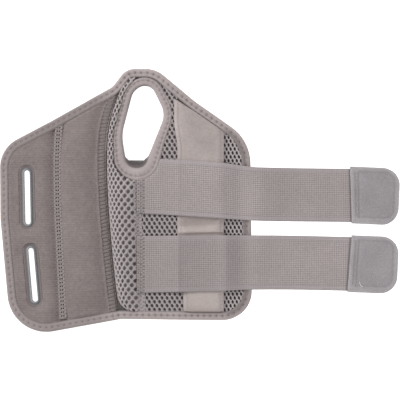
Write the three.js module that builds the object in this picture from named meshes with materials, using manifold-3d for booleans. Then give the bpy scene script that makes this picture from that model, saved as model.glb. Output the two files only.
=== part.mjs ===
// A thumb-hole wrist brace, opened out and lying flat on a table, as an assembly of its sewn pieces.
// Millimetres, +Z up. The origin is on the table under the middle of the brace: +X runs along the straps
// towards their hook tabs, and +Y runs along the forearm towards the thumb.
import * as THREE from 'three';
import { mergeVertices } from 'three/addons/utils/BufferGeometryUtils.js';
import Module from 'manifold-3d';

const wasm = await Module();
wasm.setup();

// Driving dimensions
const GAP = 0.3; // clearance kept between neighbouring pieces
const FAR = 40; // reach of a cutting solid past what it cuts
const SPAN = { left: -152, right: 40, elbow: -106, thumb: 105 }; // box that the cloth lies in
const COLUMN_STEP = { shell: 11, arch: 9, mesh: 5.8 }; // spans across the two shell panels and the arch, mm beyond
const ROW_STEP = { shell: 9, mesh: 11 };

const TAPE = 0.9; // thickness of the binding tape
const TAPE_TURN = 1.2; // how far the tape's fold is rounded
const EDGE = { lip: 6.0, height: 4.4, stations: 104 };
const THUMB = { height: 5.0, stations: 40, lean: 4.0, leanFrom: 31.5, leanFull: 26.5 };

const SHELL = { rim: 3.9, crown: 1.0, crownRun: 16, seamDip: 1.5, seamRun: 7, ringDip: 1.1, ringRun: 9 };
const MESH = { thick: 4.4, rim: 4.0, rimRun: 6, arch: 6.9, archSkew: 0.56, groove: 0.9, grooveHalf: 4, valley: 1.3 };
const SEAM_BAND = { width: 4.8, thick: 0.8, top: 3.55, stations: 16, valley: 1.6 };
const POCKET = { left: -17.4, right: 18.4, foot: 4.7, side: 0.9, crown: 2.3, roundRun: 5 };
const POCKET_TAPER = { draw: 4.6, from: -44, to: -76, spans: 3 }; // how its left edge draws in
const STRAP = { thick: 1.7, edge: 0.45, bend: 5, plainStep: 12, freeStep: 7 };
const TAB = { length: 37.2, width: 43, radius: 13, layer: 0.85, grip: 16, slack: 0.9, bevel: 0.35 };
const RING = { inside: 42, gap: 5.2, rim: 2.8, low: 0.4, high: 3.1, round: 0.7, stations: 36 };

// Corners of the whole outline, anticlockwise, each with the radius that rounds it
const OUTLINE_CORNERS = [
  { corner: 'slot panel, thumb end', x: -151.0, y: 39.0, radius: 24 },
  { corner: 'slot panel, outer side', x: -150.6, y: -14.0, radius: 90 },
  { corner: 'slot panel, elbow end', x: -142.2, y: -104.8, radius: 29.5 },
  { corner: 'notch at the mesh seam', x: -59.6, y: -89.8, radius: 5 },
  { corner: 'flank, elbow end', x: 39.3, y: -90.7, radius: 22 },
  { corner: 'flank, shoulder', x: 37.8, y: 45.2, radius: 34 },
  { corner: 'slope below the thumb', x: -4.0, y: 74.3, radius: 60 },
  { corner: 'thumb lobe, palm side', x: -33.4, y: 99.0, radius: 21 },
  { corner: 'thumb lobe, back side', x: -55.6, y: 99.0, radius: 13 },
  { corner: 'root of the thumb lobe', x: -65.9, y: 85.4, radius: 14 },
  { corner: 'top of the panel seam', x: -112.2, y: 59.4, radius: 40 },
];

// Corners of the thumb hole, anticlockwise, each with its radius
const THUMB_CORNERS = [
  { corner: 'thumb end', x: -38.0, y: 89.8, radius: 8.5 },
  { corner: 'back side, shoulder', x: -50.8, y: 82.4, radius: 12 },
  { corner: 'back side, waist', x: -59.4, y: 49.0, radius: 34 },
  { corner: 'back side, elbow end', x: -55.2, y: 24.6, radius: 8.5 },
  { corner: 'palm side, elbow end', x: -42.0, y: 24.6, radius: 7.5 },
  { corner: 'palm side, belly', x: -25.8, y: 65.0, radius: 17 },
];
// Its tape is wider towards the elbow end
const THUMB_LIP = [
  { y: 24, lip: 9.3 },
  { y: 32, lip: 8.4 },
  { y: 46, lip: 6.6 },
  { y: 60, lip: 5.8 },
  { y: 85, lip: 5.4 },
];

// The two long seams, from the elbow end to the thumb end
const PANEL_SEAM = [
  { y: -110, x: -102.2 },
  { y: -75, x: -103.8 },
  { y: -30, x: -106.0 },
  { y: 0, x: -107.3 },
  { y: 28, x: -107.6 },
  { y: 70, x: -105.2 },
];
const MESH_SEAM = [
  { y: -105, x: -59.4 },
  { y: -80, x: -61.7 },
  { y: -34, x: -66.5 },
  { y: 8, x: -69.5 },
  { y: 30, x: -70.2 },
  { y: 46, x: -69.6 },
  { y: 64, x: -66.6 },
  { y: 76, x: -62.6 },
  { y: 88, x: -58.0 },
  { y: 105, x: -51.0 },
];
const STAY_ARCH = { height: 2.4, springs: -38, crownFrom: -12, crownTo: 12, lands: 34 };
const ANCHOR_X = -45.8; // line where the straps are sewn down and the mesh is pinched flat

// How much of the mesh arch stands at each place along the brace
const ARCH_FADE = [
  { y: -88, share: 0 },
  { y: -70, share: 0.9 },
  { y: -20, share: 1 },
  { y: 4, share: 0.9 },
  { y: 18, share: 0.5 },
  { y: 34, share: 0.3 },
  { y: 88, share: 0.2 },
];

// Straps, from the sewn end to the end held in the tab: underside height above the arch, centre line and width
const STRAP_LIFT = [
  { x: -46.4, z: 4.75 },
  { x: -26, z: 4.9 },
  { x: -19.5, z: 5.7 },
  { x: -14, z: 7.4 },
  { x: 15, z: 7.4 },
  { x: 22, z: 6.5 },
  { x: 31, z: 5.0 },
  { x: 40, z: 4.75 },
  { x: 56, z: 2.3 },
  { x: 76, z: 0.25 },
  { x: 98, z: 0.2 },
  { x: 112, z: 1.15 },
  { x: 125, z: 1.15 },
];
const STRAPS = {
  upper: {
    run: [
      { x: -46.4, y: 10.9, width: 42 },
      { x: 10, y: 7.6, width: 42 },
      { x: 45, y: 4.5, width: 40.3 },
      { x: 125, y: 3.3, width: 40.1 },
    ],
    tab: { x: 113.0, y: 3.9, turn: -1.6 },
  },
  lower: {
    run: [
      { x: -46.4, y: -48.5, width: 43 },
      { x: 10, y: -47.4, width: 42 },
      { x: 45, y: -47.0, width: 40.8 },
      { x: 125, y: -48.4, width: 40.5 },
    ],
    tab: { x: 112.0, y: -47.9, turn: -2.4 },
  },
};
const SLOTS = {
  upper: { x: -130.1, y: 2.0, turn: 1.2 },
  lower: { x: -125.9, y: -56.4, turn: 5 },
};

// Finishes
const finish = (color, roughness) => new THREE.MeshStandardMaterial({ color, roughness, metalness: 0 });
const FINISH = {
  shell: finish(0x857a78, 0.92),
  mesh: finish(0x9d9494, 0.9),
  binding: finish(0x9e9493, 0.85),
  pocket: finish(0xaca09e, 0.6),
  strap: finish(0x9f9595, 0.88),
  hook: finish(0x9a9697, 0.7),
  ring: finish(0x828285, 0.4),
  thread: finish(0x95898a, 0.8),
};

// Small maths
const smoothStep = (from, to, value) => THREE.MathUtils.smoothstep(value, from, to);

// Value of a table's column at a place along its key: a cubic through the rows that never overshoots them.
function column(rows, key, name, at) {
  const last = rows.length - 1;
  const slope = (i) => (rows[i + 1][name] - rows[i][name]) / (rows[i + 1][key] - rows[i][key]);
  const tangent = (i) => {
    if (i === 0) return slope(0);
    if (i === last) return slope(last - 1);
    const before = slope(i - 1);
    const after = slope(i);
    return before * after <= 0 ? 0 : (2 * before * after) / (before + after);
  };
  let i = rows.findIndex((row) => row[key] > at) - 1;
  if (i === -2) i = last - 1;
  if (i < 0) i = 0;
  const span = rows[i + 1][key] - rows[i][key];
  const t = THREE.MathUtils.clamp((at - rows[i][key]) / span, 0, 1);
  const a = rows[i][name];
  const b = rows[i + 1][name];
  const ease = t * t * (3 - 2 * t);
  return a + (b - a) * ease + span * t * (1 - t) * (tangent(i) * (1 - t) - tangent(i + 1) * t);
}

// How far the stay in its pocket holds the mesh, its tape and the straps off the table.
function lift(x) {
  const { height, springs, crownFrom, crownTo, lands } = STAY_ARCH;
  return height * smoothStep(springs, crownFrom, x) * (1 - smoothStep(crownTo, lands, x));
}

const panelSeamX = (y) => column(PANEL_SEAM, 'y', 'x', y);
const meshSeamX = (y) => column(MESH_SEAM, 'y', 'x', y);

// Evenly spaced values from one end to the other, both included: so many spans, or spans of at most a step.
const between = (from, to, spans) => Array.from({ length: spans + 1 }, (_, i) => from + ((to - from) * i) / spans);
const spread = (from, to, step) => between(from, to, Math.ceil((to - from) / step));

// Outlines: closed rings of points, anticlockwise, each with the normal that points into the cloth

// Points evenly spaced round a polygon whose corners are rounded by arcs.
function roundedOutline(corners, stations) {
  const path = new THREE.Path();
  corners.forEach(({ x, y, radius }, i) => {
    const here = new THREE.Vector2(x, y);
    const next = corners[(i + 1) % corners.length];
    const before = corners[(i + corners.length - 1) % corners.length];
    const back = new THREE.Vector2(before.x - x, before.y - y).normalize();
    const ahead = new THREE.Vector2(next.x - x, next.y - y).normalize();
    const half = Math.acos(back.dot(ahead)) / 2;
    const centre = back.clone().add(ahead).normalize().multiplyScalar(radius / Math.sin(half)).add(here);
    const cut = radius / Math.tan(half);
    const start = back.clone().multiplyScalar(cut).add(here).sub(centre);
    const end = ahead.clone().multiplyScalar(cut).add(here).sub(centre);
    path.absarc(centre.x, centre.y, radius, start.angle(), end.angle(), back.cross(ahead) > 0);
  });
  path.closePath();
  return path.getSpacedPoints(stations).slice(0, stations);
}

// Unit normals of a ring of points, to the left of its run: inwards on an anticlockwise ring.
function leftNormals(points) {
  return points.map((_, i) => {
    const run = points[(i + 1) % points.length].clone().sub(points[(i + points.length - 1) % points.length]);
    return new THREE.Vector2(-run.y, run.x).normalize();
  });
}

// A ring of points moved along its normals, by a distance given for each point.
function offset(points, distanceAt) {
  const normals = leftNormals(points);
  return points.map((point, i) => normals[i].clone().multiplyScalar(distanceAt(point)).add(point));
}

// Shortest distance from a place to a ring of points, measured to its edges.
function distanceTo(points, x, y) {
  const place = new THREE.Vector3(x, y, 0);
  const edge = new THREE.Line3();
  const nearest = new THREE.Vector3();
  let best = Infinity;
  points.forEach((point, i) => {
    const next = points[(i + 1) % points.length];
    edge.set(new THREE.Vector3(point.x, point.y, 0), new THREE.Vector3(next.x, next.y, 0));
    edge.closestPointToPoint(place, true, nearest);
    best = Math.min(best, nearest.distanceTo(place));
  });
  return best;
}

// Solids

// A closed mesh as a solid with its faces pointing out.
function solid(vertices, triangles) {
  const build = (triVerts) =>
    new wasm.Manifold(new wasm.Mesh({ numProp: 3, vertProperties: new Float32Array(vertices), triVerts }));
  const made = build(new Uint32Array(triangles));
  return made.volume() > 0 ? made : build(new Uint32Array(triangles).reverse());
}

// A three.js geometry as a solid.
function solidOf(geometry) {
  const bare = geometry.clone();
  bare.deleteAttribute('normal');
  bare.deleteAttribute('uv');
  const merged = mergeVertices(bare, 1e-4);
  return solid(merged.attributes.position.array, merged.index.array);
}

// An upright prism over a ring of points.
function prism(points, low, high) {
  const geometry = new THREE.ExtrudeGeometry(new THREE.Shape(points), { depth: high - low, bevelEnabled: false });
  return solidOf(geometry.translate(0, 0, low));
}

// A skin through sections of equal point counts: closed into a ring, or capped at both ends.
function loft(sections, ring) {
  const size = sections[0].length;
  const vertices = sections.flat().flatMap((point) => [point.x, point.y, point.z]);
  const triangles = [];
  const spans = ring ? sections.length : sections.length - 1;
  for (let s = 0; s < spans; s += 1) {
    const here = s * size;
    const there = ((s + 1) % sections.length) * size;
    for (let k = 0; k < size; k += 1) {
      const next = (k + 1) % size;
      triangles.push(here + k, there + k, there + next, here + k, there + next, here + next);
    }
  }
  if (!ring) {
    const end = (sections.length - 1) * size;
    for (let k = 1; k < size - 1; k += 1) triangles.push(0, k, k + 1, end, end + k + 1, end + k);
  }
  return solid(vertices, triangles);
}

// A padded slab over rows of places, between two height functions.
function slab(rowAt, ys, top, bottom) {
  const vertices = [];
  const triangles = [];
  const place = (x, y, height) => vertices.push(x, y, height(x, y));
  [top, bottom].forEach((height) => ys.forEach((y) => rowAt(y).forEach((x) => place(x, y, height))));
  const wide = rowAt(ys[0]).length;
  const under = wide * ys.length;
  const quad = (a, b, c, d) => triangles.push(a, b, c, a, c, d);
  for (let j = 0; j < ys.length - 1; j += 1) {
    for (let i = 0; i < wide - 1; i += 1) {
      const a = j * wide + i;
      quad(a, a + 1, a + wide + 1, a + wide);
      quad(under + a, under + a + wide, under + a + wide + 1, under + a + 1);
    }
  }
  for (let i = 0; i < wide - 1; i += 1) {
    const far = (ys.length - 1) * wide + i;
    quad(i, under + i, under + i + 1, i + 1);
    quad(far, far + 1, under + far + 1, under + far);
  }
  for (let j = 0; j < ys.length - 1; j += 1) {
    const near = j * wide;
    const far = near + wide - 1;
    quad(near, near + wide, under + near + wide, under + near);
    quad(far, under + far, under + far + wide, far + wide);
  }
  return solid(vertices, triangles);
}

// A section, given as distances from the edge and heights, swept round a ring of points on the lifted cloth.
function sweep(points, sectionAt) {
  const normals = leftNormals(points);
  const sections = points.map((point, i) =>
    sectionAt(point).map(([inward, z]) => {
      const place = normals[i].clone().multiplyScalar(inward).add(point);
      return new THREE.Vector3(place.x, place.y, z + lift(place.x));
    }),
  );
  return loft(sections, true);
}

const rectangle = (from, to, low, high) => [
  [from, low],
  [to, low],
  [to, high],
  [from, high],
];

// The outlines that the pieces share
const outline = roundedOutline(OUTLINE_CORNERS, EDGE.stations);
const holeOutline = roundedOutline(THUMB_CORNERS, THUMB.stations).reverse(); // its normals point into the cloth
const edgeLip = () => EDGE.lip;
const thumbLip = (point) => column(THUMB_LIP, 'y', 'lip', point.y);
const tapeDepth = () => TAPE + 2 * GAP;
const clothEdge = prism(offset(outline, tapeDepth), -FAR, FAR);
const clothInside = prism(offset(outline, () => EDGE.lip + GAP), -FAR, FAR);
const holeEdge = prism(offset(holeOutline, tapeDepth).reverse(), -FAR, FAR);
const holeBound = prism(offset(holeOutline, (point) => thumbLip(point) + GAP).reverse(), -FAR, FAR);

// What both lips of a folded tape take out of the cloth that it binds.
function lipClearance(points, lipAt, height) {
  const low = sweep(points, (point) => rectangle(-GAP, lipAt(point) + GAP, -FAR, TAPE + GAP));
  const high = sweep(points, (point) => rectangle(-GAP, lipAt(point) + GAP, height - TAPE - GAP, FAR));
  return low.add(high);
}
const edgeClearance = lipClearance(outline, edgeLip, EDGE.height);
const holeClearance = lipClearance(holeOutline, thumbLip, THUMB.height);

// An oblong outline with round ends, standing along Y.
function oblong(inside, wide, segments) {
  const path = new THREE.Path();
  const reach = (inside - wide) / 2;
  path.absarc(0, reach, wide / 2, 0, Math.PI, false);
  path.absarc(0, -reach, wide / 2, Math.PI, 2 * Math.PI, false);
  path.closePath();
  return path.getSpacedPoints(segments).slice(0, segments);
}

// The oblong moved to where a slot lies.
function placedOblong(slot, grow) {
  const points = oblong(RING.inside + 2 * grow, RING.gap + 2 * grow, RING.stations);
  const middle = new THREE.Vector2();
  return points.map((point) => {
    const turned = point.clone().rotateAround(middle, THREE.MathUtils.degToRad(slot.turn));
    return turned.add(new THREE.Vector2(slot.x, slot.y));
  });
}

// Pieces

// Height of the smooth padded cloth: pinched at the binding, dipping at the seams and round the slots.
function shellTop(x, y) {
  const fromEdge = distanceTo(outline, x, y) - EDGE.lip;
  const crown = SHELL.crown * smoothStep(0, SHELL.crownRun, fromEdge);
  const fromSeam = Math.min(Math.abs(x - panelSeamX(y)), Math.abs(x - meshSeamX(y)));
  const seam = SHELL.seamDip * (1 - smoothStep(0, SHELL.seamRun, fromSeam));
  const slotDistances = Object.values(SLOTS).map((slot) => distanceTo(placedOblong(slot, RING.rim), x, y));
  const ring = SHELL.ringDip * (1 - smoothStep(0, SHELL.ringRun, Math.min(...slotDistances)));
  return SHELL.rim + crown - seam - ring;
}

const table = () => 0;

function slotPanel() {
  const across = (y) => between(SPAN.left, panelSeamX(y) - GAP / 2, COLUMN_STEP.shell);
  const cloth = slab(across, spread(SPAN.elbow, SPAN.thumb, ROW_STEP.shell), shellTop, table);
  let made = cloth.intersect(clothEdge).subtract(edgeClearance);
  Object.values(SLOTS).forEach((slot) => {
    made = made.subtract(prism(placedOblong(slot, RING.rim + GAP), -FAR, FAR));
  });
  return made.subtract(bandClearance(panelSeamX, 0));
}

function middlePanel() {
  const across = (y) => between(panelSeamX(y) + GAP / 2, meshSeamX(y) - GAP / 2, COLUMN_STEP.shell);
  const cloth = slab(across, spread(SPAN.elbow, SPAN.thumb, ROW_STEP.shell), shellTop, table);
  return cloth
    .intersect(clothEdge)
    .subtract(edgeClearance)
    .subtract(bandClearance(panelSeamX, 0))
    .subtract(bandClearance(meshSeamX, OVERLOCK_SHIFT));
}

// Height of the mesh arch, which springs from the seam and comes down at the line of the strap ends.
function archHeight(x, y) {
  const across = (x - meshSeamX(y)) / (ANCHOR_X - meshSeamX(y));
  if (across <= 0 || across >= 1) return 0;
  return MESH.arch * column(ARCH_FADE, 'y', 'share', y) * Math.sin(Math.PI * across ** MESH.archSkew);
}

function meshTop(x, y) {
  const fromEdge = distanceTo(outline, x, y) - EDGE.lip;
  const body = MESH.rim + (MESH.thick - MESH.rim) * smoothStep(0, MESH.rimRun, fromEdge);
  const groove = MESH.groove * (1 - smoothStep(0, MESH.grooveHalf, Math.abs(x - ANCHOR_X)));
  const beyondPocket = smoothStep(-MESH.grooveHalf, MESH.grooveHalf, x - POCKET.right);
  const valley = MESH.valley * beyondPocket * smoothStep(-GAP, MESH.rimRun, fromEdge);
  return body + archHeight(x, y) - groove - valley;
}

function meshPanel() {
  const beyond = spread(ANCHOR_X + MESH.grooveHalf, SPAN.right, COLUMN_STEP.mesh);
  const across = (y) => [...between(meshSeamX(y) + GAP / 2, ANCHOR_X, COLUMN_STEP.arch), ...beyond];
  const top = (x, y) => meshTop(x, y) + lift(x);
  const bottom = (x, y) => archHeight(x, y) + lift(x);
  const cloth = slab(across, spread(SPAN.elbow, SPAN.thumb, ROW_STEP.mesh), top, bottom);
  return cloth
    .intersect(clothEdge)
    .subtract(edgeClearance)
    .subtract(holeEdge)
    .subtract(holeClearance);
}

// Left edge of the stay pocket, which draws in towards the elbow end.
function pocketLeft(y) {
  return POCKET.left + POCKET_TAPER.draw * (1 - smoothStep(POCKET_TAPER.to, POCKET_TAPER.from, y));
}

// The satin cover of the stay pocket: a long flat pillow on the mesh.
function pocketTop(x, y) {
  const fromSide = Math.min(x - pocketLeft(y), POCKET.right - x);
  const pillow = POCKET.side + (POCKET.crown - POCKET.side) * smoothStep(0, POCKET.roundRun, fromSide);
  return POCKET.foot + pillow + lift(x);
}

const pocketFoot = (x) => POCKET.foot + lift(x);

function splintPocket() {
  const right = between(POCKET.right - POCKET.roundRun, POCKET.right, 4);
  const across = (y) => {
    const left = between(pocketLeft(y), pocketLeft(y) + POCKET.roundRun, 4);
    const middle = between(left[4], right[0], 4).slice(1, 4);
    return [...left, ...middle, ...right];
  };
  const taper = between(POCKET_TAPER.to, POCKET_TAPER.from, POCKET_TAPER.spans);
  const cover = slab(across, [SPAN.elbow, ...taper, SPAN.thumb], pocketTop, pocketFoot);
  return cover.intersect(clothInside);
}

// Tape folded over an edge, with rounded turns and a lip on each face.
function tapeSection(lip, height, lean) {
  const wall = TAPE + GAP;
  return [
    [lip, height],
    [TAPE_TURN, height],
    [0, height - TAPE_TURN],
    [-lean, TAPE_TURN],
    [TAPE_TURN - lean, 0],
    [lip, 0],
    [lip, TAPE],
    [wall, TAPE],
    [wall, height - TAPE],
    [lip, height - TAPE],
  ];
}

const edgeBinding = () => sweep(outline, () => tapeSection(EDGE.lip, EDGE.height, 0));

// The thumb hole's tape leans at the elbow end, where the inner face of its turn shows.
function thumbBinding() {
  const lean = (y) => THUMB.lean * (1 - smoothStep(THUMB.leanFull, THUMB.leanFrom, y));
  return sweep(holeOutline, (point) => tapeSection(thumbLip(point), THUMB.height, lean(point.y)));
}

// A band of threads laid flat over a seam, or beside it by a shift.
const OVERLOCK_SHIFT = -SEAM_BAND.width / 2 - GAP / 2 - SEAM_BAND.valley;
function bandSections(seamX, shift, grow, low, high) {
  const half = SEAM_BAND.width / 2 + grow;
  return between(SPAN.elbow, SPAN.thumb, SEAM_BAND.stations).map((y) => {
    const middle = seamX(y) + shift;
    return rectangle(middle - half, middle + half, low, high).map(([x, z]) => new THREE.Vector3(x, y, z));
  });
}
const bandClearance = (seamX, shift) =>
  loft(bandSections(seamX, shift, GAP, SEAM_BAND.top - SEAM_BAND.thick - GAP, FAR), false);
const seamBand = (seamX, shift) =>
  loft(bandSections(seamX, shift, 0, SEAM_BAND.top - SEAM_BAND.thick, SEAM_BAND.top), false).intersect(clothInside);

// An elastic strap, with softened long edges, cut round the thumb hole's tape where they meet.
function strap({ run }) {
  const onMesh = spread(run[0].x, POCKET.left - STRAP.bend, STRAP.plainStep);
  const onPocket = spread(POCKET.left, POCKET.right, STRAP.bend);
  const beyond = spread(POCKET.right + STRAP.bend, run[run.length - 1].x, STRAP.freeStep);
  const stops = [...onMesh, ...onPocket, ...beyond];
  const sections = stops.map((x) => {
    const middle = column(run, 'x', 'y', x);
    const half = column(run, 'x', 'width', x) / 2;
    const low = column(STRAP_LIFT, 'x', 'z', x) + lift(x);
    const high = low + STRAP.thick;
    const soft = STRAP.edge;
    const ring = [
      [-half + soft, low],
      [half - soft, low],
      [half, low + soft],
      [half, high - soft],
      [half - soft, high],
      [-half + soft, high],
      [-half, high - soft],
      [-half, low + soft],
    ];
    return ring.map(([y, z]) => new THREE.Vector3(x, middle + y, z));
  });
  return loft(sections, false).subtract(holeBound);
}

// A hook tab: two layers folded over the strap's end, square at the strap and round at the tip.
function hookTab() {
  const half = TAB.width / 2;
  const shape = new THREE.Shape();
  shape.moveTo(0, -half);
  shape.lineTo(TAB.length - TAB.radius, -half);
  shape.absarc(TAB.length - TAB.radius, -half + TAB.radius, TAB.radius, -Math.PI / 2, 0, false);
  shape.absarc(TAB.length - TAB.radius, half - TAB.radius, TAB.radius, 0, Math.PI / 2, false);
  shape.lineTo(0, half);
  shape.closePath();
  const height = 2 * (TAB.layer + GAP) + STRAP.thick;
  const plate = new THREE.ExtrudeGeometry(shape, {
    depth: height - 2 * TAB.bevel,
    bevelThickness: TAB.bevel,
    bevelSize: TAB.bevel,
    bevelOffset: -TAB.bevel,
    bevelSegments: 2,
    curveSegments: 7,
  });
  const mouth = new THREE.BoxGeometry(2 * TAB.grip, STRAPS.upper.run[3].width + 2 * TAB.slack, STRAP.thick + 2 * GAP);
  return solidOf(plate.translate(0, 0, TAB.bevel)).subtract(solidOf(mouth.translate(0, 0, height / 2)));
}

// A smooth oblong ring that lines a slot.
function slotRing() {
  const { rim, low, high, round } = RING;
  const section = [
    [0, low],
    [rim, low],
    [rim, high - round],
    [rim - round, high],
    [round, high],
    [0, high - round],
  ];
  const hole = oblong(RING.inside, RING.gap, RING.stations).reverse();
  return sweep(hole, () => section);
}

// Assembly

// A solid as a named mesh.
function piece(name, made, material) {
  const { vertProperties, triVerts } = made.getMesh();
  const geometry = new THREE.BufferGeometry();
  geometry.setAttribute('position', new THREE.BufferAttribute(vertProperties, 3));
  geometry.setIndex(new THREE.BufferAttribute(triVerts, 1));
  geometry.computeVertexNormals();
  const mesh = new THREE.Mesh(geometry, material);
  mesh.name = name;
  return mesh;
}

// A mesh set down at a place on the table and turned in plan.
function placed(mesh, { x, y, turn }) {
  mesh.position.set(x, y, 0);
  mesh.rotation.z = THREE.MathUtils.degToRad(turn);
  return mesh;
}

const shell = new THREE.Group();
shell.add(
  piece('slot_panel', slotPanel(), FINISH.shell),
  piece('middle_panel', middlePanel(), FINISH.shell),
  piece('mesh_panel', meshPanel(), FINISH.mesh),
  piece('splint_pocket', splintPocket(), FINISH.pocket),
  piece('edge_binding', edgeBinding(), FINISH.binding),
  piece('thumb_binding', thumbBinding(), FINISH.binding),
  piece('flatlock_seam', seamBand(panelSeamX, 0), FINISH.thread),
  piece('overlock_seam', seamBand(meshSeamX, OVERLOCK_SHIFT), FINISH.thread),
);

const closure = new THREE.Group();
Object.entries(SLOTS).forEach(([side, slot]) => {
  closure.add(placed(piece(`slot_ring_${side}`, slotRing(), FINISH.ring), slot));
});
Object.entries(STRAPS).forEach(([side, band]) => {
  closure.add(piece(`strap_${side}`, strap(band), FINISH.strap));
  closure.add(placed(piece(`hook_tab_${side}`, hookTab(), FINISH.hook), band.tab));
});

const brace = new THREE.Group();
brace.add(shell, closure);

export default brace;
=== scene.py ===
"""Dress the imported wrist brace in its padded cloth, net, tape, thread, webbing and hook tape.

Sizes in the classes are in millimetres. Meshes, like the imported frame, are in metres.
"""
import logging
import math
from dataclasses import dataclass, field
from enum import Enum
from typing import Callable, Iterable, Optional, Sequence, Union

import bpy
import numpy as np
from mathutils.bvhtree import BVHTree
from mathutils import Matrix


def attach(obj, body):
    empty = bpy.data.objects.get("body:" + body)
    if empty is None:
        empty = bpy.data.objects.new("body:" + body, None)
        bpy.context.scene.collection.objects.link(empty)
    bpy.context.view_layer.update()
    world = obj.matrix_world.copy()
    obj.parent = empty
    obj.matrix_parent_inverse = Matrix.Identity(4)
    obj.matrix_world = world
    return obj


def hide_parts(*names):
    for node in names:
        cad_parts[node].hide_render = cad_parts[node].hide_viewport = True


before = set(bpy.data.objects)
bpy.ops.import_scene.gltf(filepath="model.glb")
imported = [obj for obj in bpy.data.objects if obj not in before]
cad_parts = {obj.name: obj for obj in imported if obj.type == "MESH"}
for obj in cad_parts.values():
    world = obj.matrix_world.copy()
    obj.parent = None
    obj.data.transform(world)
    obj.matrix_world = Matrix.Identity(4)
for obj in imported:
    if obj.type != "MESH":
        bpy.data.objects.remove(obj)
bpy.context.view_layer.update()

LOG = logging.getLogger("wrist_brace")
MM = 0.001
RAY_START = 0.05
DENT_REACH = 3.0
DENT_HEIGHT = 2.5
BODY = "root"
Colour = tuple[float, float, float, float]
Corners = tuple[tuple[float, float, float], ...]
Array = np.ndarray
Value = Union[float, Array]
Field = Callable[[Array], Array]
Lay = Callable[[Array, Array], Array]
Piece = bpy.types.Object
Material = bpy.types.Material
Socket = bpy.types.NodeSocket


def linear(red: float, green: float, blue: float) -> Colour:
    """Turn a screen colour into linear light.

    Args:
        red, green, blue: screen values, 0 to 255.

    Returns:
        The linear colour with an opaque alpha.
    """
    shares = [value / 255 for value in (red, green, blue)]
    light = [part / 12.92 if part <= 0.04045 else ((part + 0.055) / 1.055) ** 2.4 for part in shares]
    return (*light, 1.0)


def ease(low: float, high: float, value: Array) -> Array:
    """Ease from 0 at low to 1 at high."""
    share = np.clip((value - low) / (high - low), 0, 1)
    return share * share * (3 - 2 * share)


def joined(*columns: Array) -> Array:
    """Columns laid side by side."""
    return np.column_stack(columns)


def hump(value: Array, middle: Value, spread: float) -> Array:
    """A smooth hump of height 1 about a middle."""
    return np.exp(-((value - middle) / spread) ** 2)


def turning(degrees: float) -> Array:
    """The matrix that turns rows of x and y anticlockwise."""
    angle = math.radians(degrees)
    return np.array([[math.cos(angle), math.sin(angle)], [-math.sin(angle), math.cos(angle)]])


class Curve:
    """A cubic through rows of a table that never overshoots them."""

    def __init__(self, rows: Sequence[tuple[float, float]]) -> None:
        """Keep the rows and work out their slopes.

        Args:
            rows: pairs of place and value, with the places rising.
        """
        self.at = np.array([row[0] for row in rows], float)
        self.value = np.array([row[1] for row in rows], float)
        steps = np.diff(self.value) / np.diff(self.at)
        inner = np.zeros(len(steps) - 1)
        same = steps[:-1] * steps[1:] > 0
        inner[same] = 2 * steps[:-1][same] * steps[1:][same] / (steps[:-1] + steps[1:])[same]
        self.slope = np.concatenate([steps[:1], inner, steps[-1:]])

    def __call__(self, at: Value) -> Array:
        """Value at a place, held at the end rows beyond them."""
        place = np.clip(at, self.at[0], self.at[-1])
        row = np.clip(np.searchsorted(self.at, place, side="right") - 1, 0, len(self.at) - 2)
        span = self.at[row + 1] - self.at[row]
        t = (place - self.at[row]) / span
        eased = t * t * (3 - 2 * t)
        bend = self.slope[row] * (1 - t) - self.slope[row + 1] * t
        return self.value[row] + (self.value[row + 1] - self.value[row]) * eased + span * t * (1 - t) * bend


def edges_of(points: Array) -> Iterable[tuple[Array, Array]]:
    """Start and end of each edge of a closed line."""
    return zip(points, np.roll(points, -1, axis=0))


class Loop:
    """A closed line on the table, anticlockwise, in millimetres."""

    def __init__(self, points: Array) -> None:
        """Keep the points and the normals to their left.

        Args:
            points: an array of x and y.
        """
        self.points = points
        run = np.roll(points, -1, axis=0) - np.roll(points, 1, axis=0)
        run /= np.linalg.norm(run, axis=1)[:, None]
        self.normals = np.stack([-run[:, 1], run[:, 0]], axis=1)

    def offset(self, distance: Value) -> "Loop":
        """The loop moved to the left of its run, inwards when it is anticlockwise."""
        return Loop(self.points + self.normals * np.reshape(distance, (-1, 1)))

    def spaced(self, pitch: float, start: float = 0.0) -> tuple[Array, Array]:
        """Places along the loop.

        Args:
            pitch: wanted distance between places.
            start: distance of the first place from the loop's first point.

        Returns:
            The places and the unit directions of the loop there.
        """
        closed = np.vstack([self.points, self.points[:1]])
        along = np.concatenate([[0], np.cumsum(np.linalg.norm(np.diff(closed, axis=0), axis=1))])
        count = max(3, round(along[-1] / pitch))
        stops = (np.arange(count) * along[-1] / count + start) % along[-1]

        def at(stop: Array) -> Array:
            """Places at distances along the loop."""
            return joined(*[np.interp(stop, along, part) for part in closed.T])

        places = at(stops)
        run = at((stops + 0.5) % along[-1]) - places
        return places, run / np.linalg.norm(run, axis=1)[:, None]

    def distance(self, places: Array) -> Array:
        """Shortest distance from each place to the loop."""
        best = np.full(len(places), np.inf)
        for start, end in edges_of(self.points):
            run = end - start
            share = np.clip((places - start) @ run / max(run @ run, 1e-12), 0, 1)
            best = np.minimum(best, np.linalg.norm(places - start - share[:, None] * run, axis=1))
        return best

    def holds(self, places: Array) -> Array:
        """Whether each place lies inside the loop."""
        inside = np.zeros(len(places), bool)
        for start, end in edges_of(self.points):
            crosses = (start[1] > places[:, 1]) != (end[1] > places[:, 1])
            if start[1] != end[1]:
                at = start[0] + (places[:, 1] - start[1]) * (end[0] - start[0]) / (end[1] - start[1])
                inside ^= crosses & (places[:, 0] < at)
        return inside


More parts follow.
